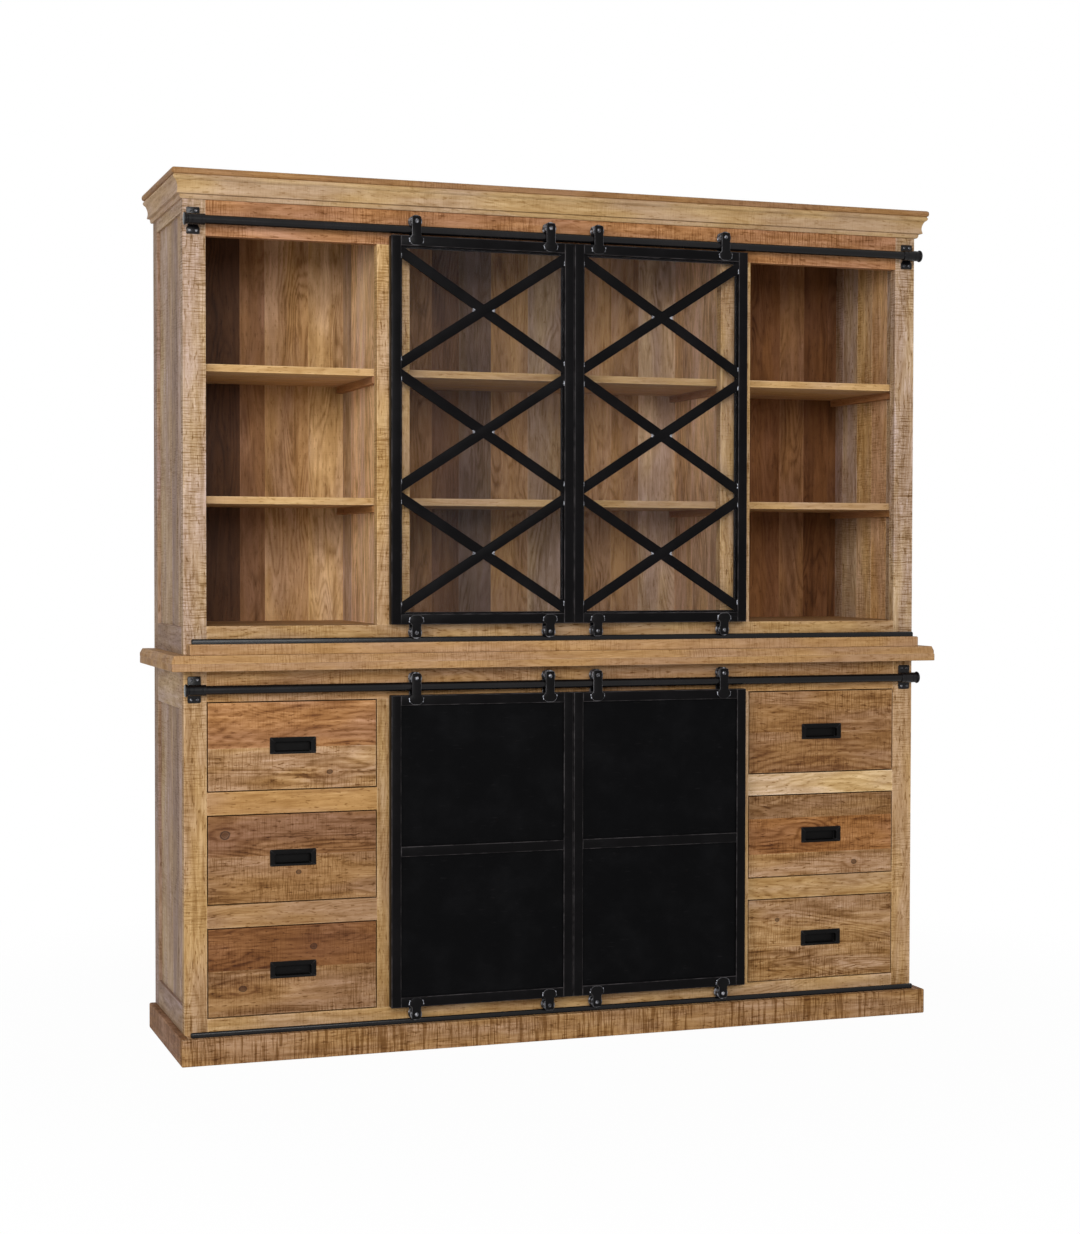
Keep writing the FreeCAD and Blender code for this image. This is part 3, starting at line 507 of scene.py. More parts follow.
def pushed_back(corners, thickness):
    """A form with a front of the given corners, pushed back along Y."""
    form = bmesh.new()
    face = form.faces.new([form.verts.new(corner) for corner in corners])
    pushed = bmesh.ops.extrude_face_region(form, geom=[face])["geom"]
    back = [item for item in pushed if isinstance(item, bmesh.types.BMVert)]
    bmesh.ops.translate(form, vec=(0, thickness, 0), verts=back)
    return form


class Shape:
    """Collects the solids of one piece, in millimetres."""

    def __init__(self, name):
        self.name = name
        self.form = bmesh.new()

    def absorb(self, solid):
        bmesh.ops.recalc_face_normals(solid, faces=solid.faces)
        mesh = bpy.data.meshes.new("solid")
        solid.to_mesh(mesh)
        solid.free()
        self.form.from_mesh(mesh)
        bpy.data.meshes.remove(mesh)

    def box(self, x_span, y_span, z_span, edge=2.2):
        """A block with rounded edges."""
        spans = [sorted(span) for span in (x_span, y_span, z_span)]
        middle = Vector([(low + high) / 2 for low, high in spans])
        solid = block_form([((low - high) / 2, (high - low) / 2) for low, high in spans])
        rounded(solid, solid.edges[:], edge, 3)
        bmesh.ops.translate(solid, vec=middle, verts=solid.verts)
        self.absorb(solid)

    def slab(self, outline, y_front, thickness, edge=0.7):
        """An outline of X and Z points, pushed back along Y, with rounded rims."""
        solid = pushed_back([(x, y_front, z) for x, z in outline], thickness)
        rims = [
            line for line in solid.edges if abs(line.verts[0].co.y - line.verts[1].co.y) < 0.001
        ]
        rounded(solid, rims, edge)
        self.absorb(solid)

    def lathe(self, profile, centre, axis, steps=40):
        """A profile of (distance along the axis, radius) points, turned about the axis."""
        turn = Vector(UP).rotation_difference(Vector(axis)).to_matrix()
        angles = [2 * math.pi * step / steps for step in range(steps)]
        rings = [
            [turn @ Vector((r * math.cos(a), r * math.sin(a), h)) + Vector(centre) for a in angles]
            for h, r in profile
        ]
        hollow = profile[0] == profile[-1]
        solid = skin(rings, not hollow)
        if hollow:
            bmesh.ops.remove_doubles(solid, verts=solid.verts, dist=0.0001)
        self.absorb(solid)

    def mesh(self):
        rims = [on_edge_rounding(vert) for vert in self.form.verts]
        mesh = bpy.data.meshes.new(self.name)
        bmesh.ops.scale(self.form, vec=(MM, MM, MM), verts=self.form.verts)
        self.form.to_mesh(mesh)
        self.form.free()
        mesh.shade_smooth()
        mesh.set_sharp_from_angle(angle=math.radians(32))
        mesh.attributes.new("rim", "FLOAT", "POINT").data.foreach_set("value", rims)
        return mesh

    def finish(self, material, body, *nodes, slot="black_steel"):
        return placed(self.mesh(), self.name, material, body, slot, nodes)


def on_edge_rounding(vert, width=1.3):
    """1 for a corner that lies on an edge's rounding, 0 for one of a wide or curved face."""
    for face in vert.link_faces:
        if face.calc_area() > width * max(line.calc_length() for line in face.edges):
            return 0.0
    first = vert.link_faces[0].normal
    return 1.0 if min(first.dot(face.normal) for face in vert.link_faces) < 0.93 else 0.0


# Node trees that set out what repeats


class SettingOut(NodeTree):
    """A geometry node tree with named inputs, that ends in solid pieces with a finish."""

    def __init__(self, name, result, inputs):
        super().__init__(bpy.data.node_groups.new(name, "GeometryNodeTree"))
        self.keys = {}
        for key, (label, kind, value) in inputs.items():
            socket = self.socket(label, "INPUT", kind)
            if value is not None:
                socket.default_value = value
            self.keys[key] = socket.identifier
        self.socket(result, "OUTPUT", "Geometry")
        self.value = dict(zip(self.keys, self.node("NodeGroupInput").outputs()))

    def socket(self, label, way, kind):
        return self.tree.interface.new_socket(label, in_out=way, socket_type="NodeSocket" + kind)

    def vector(self, x, y, z):
        return self.node("ShaderNodeCombineXYZ", inputs=(x, y, z))

    def stored(self, geometry, name, amount, domain="POINT"):
        settings = {"data_type": "FLOAT_VECTOR", "domain": domain}
        inputs = {"Geometry": geometry, "Name": name, "Value": amount}
        return self.node("GeometryNodeStoreNamedAttribute", settings, inputs)

    def read(self, name):
        settings = {"data_type": "FLOAT_VECTOR"}
        return self.node("GeometryNodeInputNamedAttribute", settings, {"Name": name})

    def chance(self, kind, low, high, places, output):
        """A random value for each place, between low and high."""
        inputs = {places[0]: low, places[1]: high, "Seed": self.value["seed"]}
        return self.node("FunctionNodeRandomValue", {"data_type": kind}, inputs, output)

    def copies(self, shape, **inputs):
        inputs = {"Points": self.value["places"], "Instance": shape} | inputs
        return self.node("GeometryNodeInstanceOnPoints", inputs=inputs)

    def end(self, solid):
        inputs = {"Geometry": solid, "Material": self.value["material"]}
        painted = self.node("GeometryNodeSetMaterial", inputs=inputs)
        self.node("NodeGroupOutput", inputs=(painted,))
        return self

    def run(self, mesh, values):
        """Runs the tree on a mesh of points and returns the plain mesh that comes out."""
        holder = linked("places", mesh)
        modifier = holder.modifiers.new("set out", "NODES")
        modifier.node_group = self.tree
        for name, value in values.items():
            modifier[self.keys[name]] = value
        graph = bpy.context.evaluated_depsgraph_get()
        graph.update()
        result = bpy.data.meshes.new_from_object(
            holder.evaluated_get(graph), preserve_all_data_layers=True, depsgraph=graph
        )
        holder.modifiers.clear()
        bpy.data.objects.remove(holder)
        return result


def set_out_tree():
    """Copies of a small shape on points, each turned to face along its point's direction."""
    build = SettingOut("set_out", "Pieces", {
        "places": ("Places", "Geometry", None),
        "shape": ("Shape", "Object", None),
        "material": ("Finish", "Material", None),
        "turn": ("Largest Turn", "Float", 0.0),
        "smallest": ("Smallest Size", "Float", 1.0),
        "largest": ("Largest Size", "Float", 1.0),
        "seed": ("Seed", "Int", 0),
    })
    value = build.value
    facing = build.read("facing")
    inputs = {"Object": value["shape"]}
    shape = build.node("GeometryNodeObjectInfo", inputs=inputs, output="Geometry")
    aligned = build.node("FunctionNodeAlignRotationToVector", {"axis": "Z"}, {"Vector": facing})
    spin = build.chance("FLOAT", 0.0, value["turn"], (2, 3), 1)
    spin = build.node("FunctionNodeAxisAngleToRotation", inputs={"Angle": spin})
    settings = {"rotation_space": "LOCAL"}
    turned = build.node("FunctionNodeRotateRotation", settings, (aligned, spin))
    size = build.chance("FLOAT", value["smallest"], value["largest"], (2, 3), 1)
    copies = build.copies(shape, Rotation=turned, Scale=size)
    return build.end(build.node("GeometryNodeRealizeInstances", inputs=(copies,)))


def plank_tree():
    """Upright planks on points, with rounded long edges and their own grain and tone."""
    build = SettingOut("planks", "Planks", {
        "places": ("Places", "Geometry", None),
        "width": ("Plank Width", "Float", 0.1),
        "thickness": ("Plank Thickness", "Float", 0.012),
        "length": ("Plank Length", "Float", 1.0),
        "edge": ("Edge Round", "Float", 0.001),
        "turn": ("Turn", "Float", 0.0),
        "seed": ("Seed", "Int", 0),
        "material": ("Finish", "Material", None),
    })
    value = build.value
    width, thickness, length = value["width"], value["thickness"], value["length"]
    inputs = {"Width": width, "Height": thickness}
    section = build.node("GeometryNodeCurvePrimitiveQuadrilateral", {"mode": "RECTANGLE"}, inputs)
    inputs = {"Curve": section, "Count": 2, "Radius": value["edge"]}
    section = build.node("GeometryNodeFilletCurve", {"mode": "POLY"}, inputs)
    face = build.node("GeometryNodeFillCurve", {"mode": "NGONS"}, {"Curve": section})
    inputs = {"Mesh": face, "Offset": build.vector(0.0, 0.0, 1.0), "Offset Scale": length,
              "Individual": False}
    pushed = build.node("GeometryNodeExtrudeMesh", {"mode": "FACES"}, inputs)
    foot = build.node("GeometryNodeFlipFaces", inputs=(face,))
    plank = build.node("GeometryNodeJoinGeometry", inputs=([foot, pushed],))
    inputs = {"Geometry": plank, "Distance": 0.00001}
    plank = build.node("GeometryNodeMergeByDistance", inputs=inputs)
    inputs = {"Geometry": plank, "Translation": build.vector(0.0, 0.0, length * -0.5)}
    plank = build.node("GeometryNodeTransform", inputs=inputs)
    where = build.node("GeometryNodeInputPosition")
    x, y, z = build.node("ShaderNodeSeparateXYZ", inputs=(where,)).outputs()
    plank = build.stored(plank, "from_middle", build.vector(z, x, y))
    half = build.vector(length * 0.5, width * 0.5, thickness * 0.5)
    plank = build.stored(plank, "half_size", half)
    inputs = {"Axis": (0.0, 0.0, 1.0), "Angle": value["turn"]}
    turn = build.node("FunctionNodeAxisAngleToRotation", inputs=inputs)
    copies = build.copies(plank, Rotation=turn)
    shift = build.chance("FLOAT_VECTOR", (-9.0, -9.0, -9.0), (9.0, 9.0, 9.0), (0, 1), 0)
    copies = build.stored(copies, "shift", shift, "INSTANCE")
    solid = build.node("GeometryNodeRealizeInstances", inputs=(copies,))
    places = build.read("from_middle"), build.read("shift")
    grain = build.node("ShaderNodeVectorMath", {"operation": "ADD"}, places)
    return build.end(build.stored(solid, "grain", grain))


def point_mesh(places, fields):
    """Points in millimetres with a value for each in every named field."""
    mesh = bpy.data.meshes.new("points")
    mesh.from_pydata([Vector(place) * MM for place in places], [], [])
    set_fields(mesh, fields)
    return mesh


SET_OUT = set_out_tree()
PLANKS = plank_tree()


def set_out(name, places, facings, shape_mesh, material, body, nodes=(), **sizes):
    """A piece made of copies of one shape, one on each place."""
    shape = linked("shape", shape_mesh)
    values = {"shape": shape, "material": material, "seed": 7} | sizes
    result = SET_OUT.run(point_mesh(places, {"facing": facings}), values)
    bpy.data.objects.remove(shape)
    result.name = name
    return placed(result, name, material, body, "black_steel", nodes)


def plank_mesh(first, step, tones, width, thickness, length, turn, seed, material, sawn):
    """Planks side by side from the first one's middle, one for each tone."""
    chance = random.Random(seed)
    count = len(tones)
    places = [Vector(first) + Vector(step) * i for i in range(count)]
    fields = {
        "tone": [tint(tone, chance, 0.1) for tone in tones],
        "sawn": [sawn] * count,
        "knot": [NO_KNOT] * count,
    }
    values = {"width": width * MM, "thickness": thickness * MM, "length": length * MM,
              "turn": turn, "seed": seed, "material": material}
    return PLANKS.run(point_mesh(places, fields), values)


def joined_mesh(name, meshes):
    """Several meshes as one, with their attributes kept."""
    made = [linked("part", mesh) for mesh in meshes]
    with bpy.context.temp_override(
        active_object=made[0], selected_objects=made, selected_editable_objects=made
    ):
        bpy.ops.object.join()
    mesh = made[0].data
    bpy.data.objects.remove(made[0])
    mesh.name = name
    return mesh


# The carcass


def make_plinth():
    boards = Boards("plinth_boards")
    front, height = (plinth_front, plinth_front + board), (0, plinth_top)
    boards.box((-plinth_reach, plinth_reach), front, height, "x", "straw", 1.75, 3.5)
    for _, side in SIDES:
        span = x_side(side, plinth_reach - board, plinth_reach)
        boards.box(span, (front[1], case_back), height, "y", "brown", 1.5, 3.5)
    inner, back = (board - plinth_reach, plinth_reach - board), case_back - board
    boards.box(inner, (back, case_back), height, "x", "brown", 0.8)
    boards.box(inner, (front[1], back), (48.5, plinth_top), "x", "straw", 0.4)
    boards.finish(sawn_boards, "plinth_wood", "plinth")


def make_face_frames():
    frames = {"lower": Boards("lower_front_frame"), "upper": Boards("upper_front_frame")}

    def part(word, x_span, z_span, along, tone, sawn):
        frames[word].box(x_span, (case_front, frame_back), z_span, along, tone, sawn, 0.8)

    inner = (-outer_stile_inner, outer_stile_inner)
    part("lower", inner, (plinth_top, drawer_floor), "x", "sand", 0.35)
    part("lower", inner, (drawer_ceiling, lower_top), "x", "straw", 0.7)
    part("upper", inner, (worktop_top, bay_floor), "x", "sand", 0.5)
    part("upper", inner, (bay_ceiling, cap_bottom), "x", "peach", 0.9)
    rails = {-1: ("straw", "gold"), 1: ("sand", "pale")}
    for _, side in SIDES:
        outer = x_side(side, outer_stile_inner, case_half)
        middle = x_side(side, mid_stile_inner, mid_stile_outer)
        gap = x_side(side, mid_stile_outer, outer_stile_inner)
        part("lower", outer, (plinth_top, lower_top), "z", "sand", 0.8)
        part("lower", middle, (drawer_floor, drawer_ceiling), "z", "sand", 0.4)
        part("upper", outer, (worktop_top, cap_bottom), "z", "tan", 1.0)
        part("upper", middle, (bay_floor, bay_ceiling), "z", "honey", 0.8)
        for row, tone in zip((1, 2), rails[side]):
            level = drawer_floor + row * drawer_pitch
            part("lower", gap, (level - rail_height, level), "x", tone, 0.1)
    for word, boards in frames.items():
        boards.finish(sawn_boards, "frame_wood", word + "_face_frame")


def make_sides():
    cases = (
        ("lower", plinth_top, lower_top, 68.0, 97.0),
        ("upper", worktop_top, cap_bottom, 67.5, 86.5),
    )
    tones = {-1: ("grey", "mauve", "grey", "tan"), 1: ("tan", "wheat", "honey", "tan")}
    stile_front, plank = case_back - stile_width, 12
    depth = (frame_back, stile_front)
    for word, bottom, top_edge, bottom_rail, top_rail in cases:
        boards, meshes = Boards(word + "_side_rails"), []
        low, high = bottom + bottom_rail, top_edge - top_rail
        for _, side in SIDES:
            thick = x_side(side, side_inner, case_half)
            boards.box(thick, (stile_front, case_back), (bottom, top_edge), "z", "mauve", 0.7)
            boards.box(thick, depth, (bottom, low), "y", "mauve", 0.6)
            boards.box(thick, depth, (high, top_edge), "y", "tan", 0.6)
            width = (stile_front - frame_back) / len(tones[side])
            length = top_edge - top_rail - bottom - bottom_rail
            first = (side * (side_inner + plank / 2), frame_back + width / 2, low + length / 2)
            seed = 11 + len(word) + side
            meshes.append(plank_mesh(
                first, (0, width, 0), tones[side], width, plank, length, math.pi / 2, seed,
                sawn_boards, 0.6,
            ))
        boards.finish(sawn_boards, "side_wood", word + "_sides")
        name = word + "_side_planks"
        placed(joined_mesh(name, meshes), name, sawn_boards, "carcass", "side_wood")


# The upper back's planks from left to right: tone and width
# The dark planks at the left end, and the darker ones across the right bay, are partly their wood's
# tone and partly painted shade cast by the bays' walls and stiles.
BACK_PLANKS = (
    ("dark", 107.0), ("dark", 100.5), ("brown", 67.5), ("straw", 119.5), ("sand", 105.5),
    ("tan", 96.0), ("honey", 80.0), ("umber", 65.0), ("walnut", 78.0), ("ash", 93.0),
    ("straw", 108.0), ("tan", 99.0), ("tan", 68.0), ("straw", 82.0), ("straw", 83.0),
    ("tan", 122.0), ("brown", 113.0), ("russet", 116.0), ("russet", 90.0), ("brown", 77.0),
    ("dusk", 77.0), ("dusk", 27.0),
)


def make_backs():
    """Upright planks of mixed tone and width across the back of each case."""
    total = sum(width for _, width in BACK_PLANKS)
    for word, height in (("upper", (worktop_top, cap_bottom)), ("lower", (plinth_top, lower_top))):
        boards = Boards(word + "_back_planks")
        place = -side_inner
        for tone, width in BACK_PLANKS:
            reach = place + width * 2 * side_inner / total
            boards.box((place, reach), (back_front, case_back), height, "z", tone, 0.1, 0.6)
            place = reach
        boards.finish(calm_boards, "back_wood", word + "_back")


# The planks of the walls beside the centre bay, from the front to the back: tone and share
# The pale parchment tones are partly the wood's colour and partly painted light, for the light that
# falls on these walls from the left.
WALL_PLANKS = {
    -1: (("parchment", 0.42), ("parchment", 0.35), ("tan", 0.23)),
    1: (("parchment", 0.4), ("parchment", 0.3), ("parchment", 0.3)),
}


def make_insides():
    depth, across = (frame_back, back_front), (-side_inner, side_inner)
    low, high = Boards("lower_inside_boards"), Boards("upper_inside_boards")
    roof = cap_bottom - board
    low.box(across, depth, (drawer_floor - board, drawer_floor), "x", "amber")
    shelf_depth, shelf_height = (frame_back + 30, back_front), (481.5, 500)
    low.box((-divider_inner, divider_inner), shelf_depth, shelf_height, "x", "straw")
    high.box(across, depth, (bay_floor - board, bay_floor), "x", "straw", 0.1)
    high.box(across, depth, (roof, cap_bottom), "x", "brown", 0.1)
    for _, side in SIDES:
        wall = x_side(side, divider_inner, divider_outer)
        low.box(wall, depth, (drawer_floor, lower_top), "z", "brown", 0.2)
        place = frame_back
        for tone, share in WALL_PLANKS[side]:
            reach = place + (back_front - frame_back) * share
            high.box(wall, (place, reach), (bay_floor, roof), "z", tone, 0.1, 0.6)
            place = reach
    low.finish(planed, "inner_wood", "lower_partitions")
    high.finish(calm_boards, "inner_wood", "upper_partitions")


def make_shelves():
    boards = Boards("shelf_boards")
    bays = [(-divider_inner, divider_inner)]
    bays += [x_side(side, divider_outer, side_inner) for _, side in SIDES]
    cleat = 18
    for x0, x1 in bays:
        for row in range(2):
            under = bay_floor + shelf_rise + row * shelf_spacing
            height, depth = (under, under + shelf_thickness), (frame_back + 10, back_front)
            boards.box((x0 + 1, x1 - 1), depth, height, "x", "honey", 0.1, 1.0)
            for span in both_ends(x0, x1, cleat):
                depth = (frame_back + 17, back_front)
                boards.box(span, depth, (under - cleat, under), "y", "amber", 0.1)
    boards.finish(planed, "inner_wood", "shelves")


def make_runners():
    boards = Boards("drawer_runner_strips")
    depth = (frame_back, back_front)
    for _, side in SIDES:
        for row in range(3):
            level = drawer_floor + row * drawer_pitch
            for wall, edge, away in ((divider_outer, 527.5, 1), (side_inner, 938.0, -1)):
                guide = x_side(side, wall, edge - away)
                boards.box(guide, depth, (level, level + 25), "y", "straw", 0.3)
                if row:
                    runner = x_side(side, wall, edge + away * 10)
                    boards.box(runner, depth, (level - board, level), "y", "straw", 0.3)
    boards.finish(planed, "inner_wood", "drawer_runners")


def make_worktop():
    boards = Boards("worktop_boards")
    span, depth = (-worktop_half, worktop_half), (worktop_front, case_back)
    boards.box(span, depth, (lower_top, worktop_joint), "x", "straw", 0.35, 2.0)
    boards.finish(planed, "honey_wood", "worktop")
    make_worktop_top()
    ledge = Boards("ledge_board")
    span, depth = (-ledge_half, ledge_half), (ledge_front, case_front)
    ledge.box(span, depth, (worktop_top, ledge_top), "x", "straw", 0.5, 3.0)
    ledge.finish(planed, "honey_wood", "upper_ledge")


def make_worktop_top():
    """The upper layer of the worktop, with its sloped rim."""
    boards = Boards("worktop_upper_layer")
    spans = [(-worktop_half, worktop_half), (worktop_front, case_back), (worktop_joint, worktop_top)]
    rim, corner = 6.0, 7.0
    form = block_form(spans)
    corners = [
        line
        for line in form.edges
        if all(abs(vert.co.y - worktop_front) < 0.01 for vert in line.verts)
        and abs(line.verts[0].co.z - line.verts[1].co.z) > 1
    ]
    rounded(form, corners, corner, 6)
    upper = [face for face in form.faces if face.normal.z > 0.9]
    inset = bmesh.ops.inset_region(form, faces=upper, thickness=rim, use_even_offset=True)
    top_verts = {vert for face in upper for vert in face.verts}
    for face in inset["faces"]:
        for vert in face.verts:
            if vert not in top_verts:
                vert.co.z -= rim
    boards.add([taken(form)], spans, "x", "straw", 0.5)
    boards.finish(planed, "honey_wood")


def cornice_profile():
    """The mouldings' outline as (reach from the case, height) points, from the top down."""
    points = []

    def arc(start, middle, end, steps=8):
        for step in range(steps + 1):
            t = step / steps
            a, b, c = (1 - t) ** 2, 2 * t * (1 - t), t * t
            pull = [2 * m - (s + e) / 2 for s, m, e in zip(start, middle, end)]
            points.append(tuple(a * s + b * p + c * e for s, p, e in zip(start, pull, end)))

    arc((24.0, cap_bottom), (26.9, cap_bottom - 6.75), (20.0, cap_bottom - 13.5))
    arc((18.5, cap_bottom - 16.5), (14.5, cap_bottom - 29.75), (16.5, cap_bottom - 43.0))
    fillets = [(16.5, cap_bottom - 45.0), (8.5, cap_bottom - 46.5), (8.2, moulding_bottom + 5)]
    return points + fillets + [(6.0, moulding_bottom), (0.0, moulding_bottom), (0.0, cap_bottom)]


def make_cornice():
    boards = Boards("cornice_mouldings")
    profile = cornice_profile()
    count, widest = len(profile), 27
    height = (moulding_bottom, cap_bottom)

    def prism(near, far, spans, along, tone):
        """A moulding between two ends, each given as the side and whether it is at the front."""
        verts = []
        for side, at_front in (near, far):
            for reach, z in profile:
                y = case_front - reach if at_front else case_back
                verts.append(Vector((side * (case_half + reach), y, z)))
        faces = [[i, (i + 1) % count, count + (i + 1) % count, count + i] for i in range(count)]
        faces += [list(range(count))[::-1], [count + i for i in range(count)]]
        boards.add([(verts, faces)], spans, along, tone, 0.2)

    whole = (-case_half - cap_reach, case_half + cap_reach)
    prism((-1, True), (1, True), [whole, (case_front - widest, case_front), height], "x", "butter")
    for _, side in SIDES:
        ends = [(side, True), (side, False)]
        near, far = ends if side < 0 else ends[::-1]
        outer = x_side(side, case_half, case_half + widest)
        prism(far, near, [outer, (case_front - widest, case_back), height], "y", "fawn")
    piece = boards.finish(planed, "honey_wood", "cornice")
    piece.data.shade_smooth()
    piece.data.set_sharp_from_angle(angle=math.radians(28))
    cap = Boards("cornice_cap_board")
    depth = (case_front - cap_reach, case_back)
    cap.box(whole, depth, (cap_bottom, top), "x", "umber", 0.5, 6.0)
    cap.finish(planed, "honey_wood")


# Rods, brackets and bars


def rod_profile():
    """The rod with its collar rings and end caps, from one end to the other."""
    cap = [
        (0, 12.4), (0.6, 13.0), (3.4, 13.0), (4.0, 12.6), (4.0, 14.6), (5.2, 15.8), (7.2, 15.9),
        (9.0, 14.8), (9.9, 12.0),
    ]
    half = [(rod_end, rod_radius)] + [(rod_end + x, r) for x, r in cap]
    return [(-x, r) for x, r in reversed(half)] + half


def waisted_outline(x, z):
    half_width, half_height, waist, waist_half, corner = 16.5, 33.0, 11.0, 17.0, 2
    points = []
    for turn in (1, -1):
        right, up = half_width * turn, half_height * turn
        points += [
            (x - right + turn * corner, z + up), (x + right - turn * corner, z + up),
            (x + right, z + up - turn * corner), (x + right, z + turn * waist_half),
        ]
        for step in range(1, 8):
            angle = math.pi * step / 8
            dip = (half_width - waist) * math.sin(angle)
            points.append((x + turn * (half_width - dip), z + turn * waist_half * math.cos(angle)))
        points += [(x + right, z - turn * waist_half), (x + right, z - up + turn * corner)]
    return points


def rounded_outline(x, z, half_width=16.5, half_height=33.0, corner=4.0, steps=4):
    points = []
    for quarter, (sx, sz) in enumerate(((1, 1), (-1, 1), (-1, -1), (1, -1))):
        for step in range(steps + 1):
            angle = math.pi / 2 * (quarter + step / steps)
            across = sx * (half_width - corner) + corner * math.cos(angle)
            points.append((x + across, z + sz * (half_height - corner) + corner * math.sin(angle)))
    return points


def make_rods():
    rods = Shape("rods_and_caps")
    for level in (upper_rod, lower_rod):
        rods.lathe(rod_profile(), (0, rod_line, level), (1, 0, 0), 48)
    rods.finish(rod_black, "carcass", "rods")


def make_brackets():
    """A plate, an arm and a grooved collar at each end of each rod, with four screws."""
    plates = Shape("rod_bracket_plates")
    spots = []
    plate, arm_half_width, arm_half_height, collar_start = 4, 9.5, 8, 957.0
    collar = [
        (0, 11.05), (0, 13.0), (0.8, 13.8), (8.5, 13.8), (9.2, 13.0), (11, 13.0), (11.6, 13.8),
        (31.0, 13.8), (31.6, 13.0), (33.4, 13.0), (34, 13.8), (42.2, 13.8), (43, 13.0), (43, 11.05),
        (0, 11.05),
    ]
    for _, side in SIDES:
        x = side * bracket_middle
        for level, outline in ((upper_rod, waisted_outline), (lower_rod, rounded_outline)):
            plates.slab(outline(x, level), case_front - plate, plate, 0.9)
            arm_depth = (rod_line + 6, case_front - plate + 0.5)
            arm_width = (x - arm_half_width, x + arm_half_width)
            arm_height = (level - arm_half_height, level + arm_half_height)
            plates.box(arm_width, arm_depth, arm_height, 2.0)
            plates.lathe(collar, (side * collar_start, rod_line, level), (side, 0, 0))
            corners = [(dx, dz) for dx in (-7.5, 7.5) for dz in (-24.5, 24.5)]
            spots += [(x + dx, case_front - plate, level + dz) for dx, dz in corners]
    plates.finish(rod_black, "carcass", "rod_brackets")
    head = Shape("screw_head")
    profile = [(-1, 3.7), (0.6, 3.75), (1.5, 3.0), (2.0, 1.9), (1.9, 1.1), (0.9, 0.9), (0.9, 0.3)]
    head.lathe(profile, ORIGIN, UP, 16)
    set_out(
        "bracket_screw_heads", spots, [FORWARD] * len(spots), head.mesh(), wheel_steel, "carcass",
        ("bracket_screws",), turn=3.0,
    )


def bar_ring(x, seat, shrink):
    """A round-topped section of a guide bar at one X."""
    half = bar_thickness / 2 - shrink
    shoulder = seat + bar_height - bar_thickness / 2
    ring = [(x, rod_line - half, seat + shrink), (x, rod_line + half, seat + shrink)]
    for step in range(9):
        angle = math.pi * step / 8
        ring.append((x, rod_line + half * math.cos(angle), shoulder + half * math.sin(angle)))
    return ring


def make_guide_bars():
    bars = Shape("guide_rails")
    for end, seat in ((993.0, ledge_top), (997.0, plinth_top)):
        half = [(end - 3, 0), (end - 1.2, 0.8), (end, 2.2)]
        stations = [(-x, shrink) for x, shrink in reversed(half)] + half
        bars.absorb(skin([bar_ring(x, seat, shrink) for x, shrink in stations]))
    bars.finish(rod_black, "carcass", "guide_bars")


# Doors


def door_inside(side, bottom, top_edge):
    xs = x_side(side, door_inner + tube_width, door_outer - tube_width)
    return xs, (bottom + tube_width, top_edge - tube_width)


def add_door_tubes(shape, side, bottom, top_edge, mid_rail):
    depth = (door_front, door_back)
    (x0, x1), (z0, z1) = door_inside(side, bottom, top_edge)
    for near, far in both_ends(door_inner, door_outer, tube_width):
        shape.box(x_side(side, near, far), depth, (bottom, top_edge))
    rails = [*both_ends(bottom, top_edge, tube_width)]
    if mid_rail:
        middle = (z0 + z1) / 2
        rails.append((middle - tube_width / 2, middle + tube_width / 2))
    for height in rails:
        shape.box((x0 - 1, x1 + 1), depth, height)


def add_beads(shape, side):
    """The strips behind the pane."""
    (x0, x1), (z0, z1) = door_inside(side, glass_bottom, glass_top)
    depth, strip = (lattice_front + 9, lattice_front + 17), 5
    for height in both_ends(z0, z1, strip):
        shape.box((x0, x1), depth, height, 1.0)
    for span in both_ends(x0, x1, strip):
        shape.box(span, depth, (z0 + strip, z1 - strip), 1.0)


def lattice_row(side):
    """The height of one row of the grille, its diagonal, and the slope of its bars.

    The edges of a bar run to two opposite corners of its row.
    """
    (x0, x1), (z0, z1) = door_inside(side, glass_bottom, glass_top)
    rise = (z1 - z0) / 3
    diagonal = math.hypot(x1 - x0, rise + lattice_lap)
    slope = math.atan2(rise + lattice_lap, x1 - x0) - math.asin(lattice_width / diagonal)
    return rise, diagonal, slope


def lattice_bars(side):
    """The two ends of each flat bar of the grille."""
    (x0, x1), (z0, _) = door_inside(side, glass_bottom, glass_top)
    rise, diagonal, slope = lattice_row(side)
    across, up = math.cos(slope) * diagonal / 2, math.sin(slope) * diagonal / 2
    x, bars = (x0 + x1) / 2, []
    for row in range(3):
        z = z0 + (row + 0.5) * rise
        for way in (up, -up):
            bars.append((Vector((x - across, 0, z - way)), Vector((x + across, 0, z + way))))
    return bars


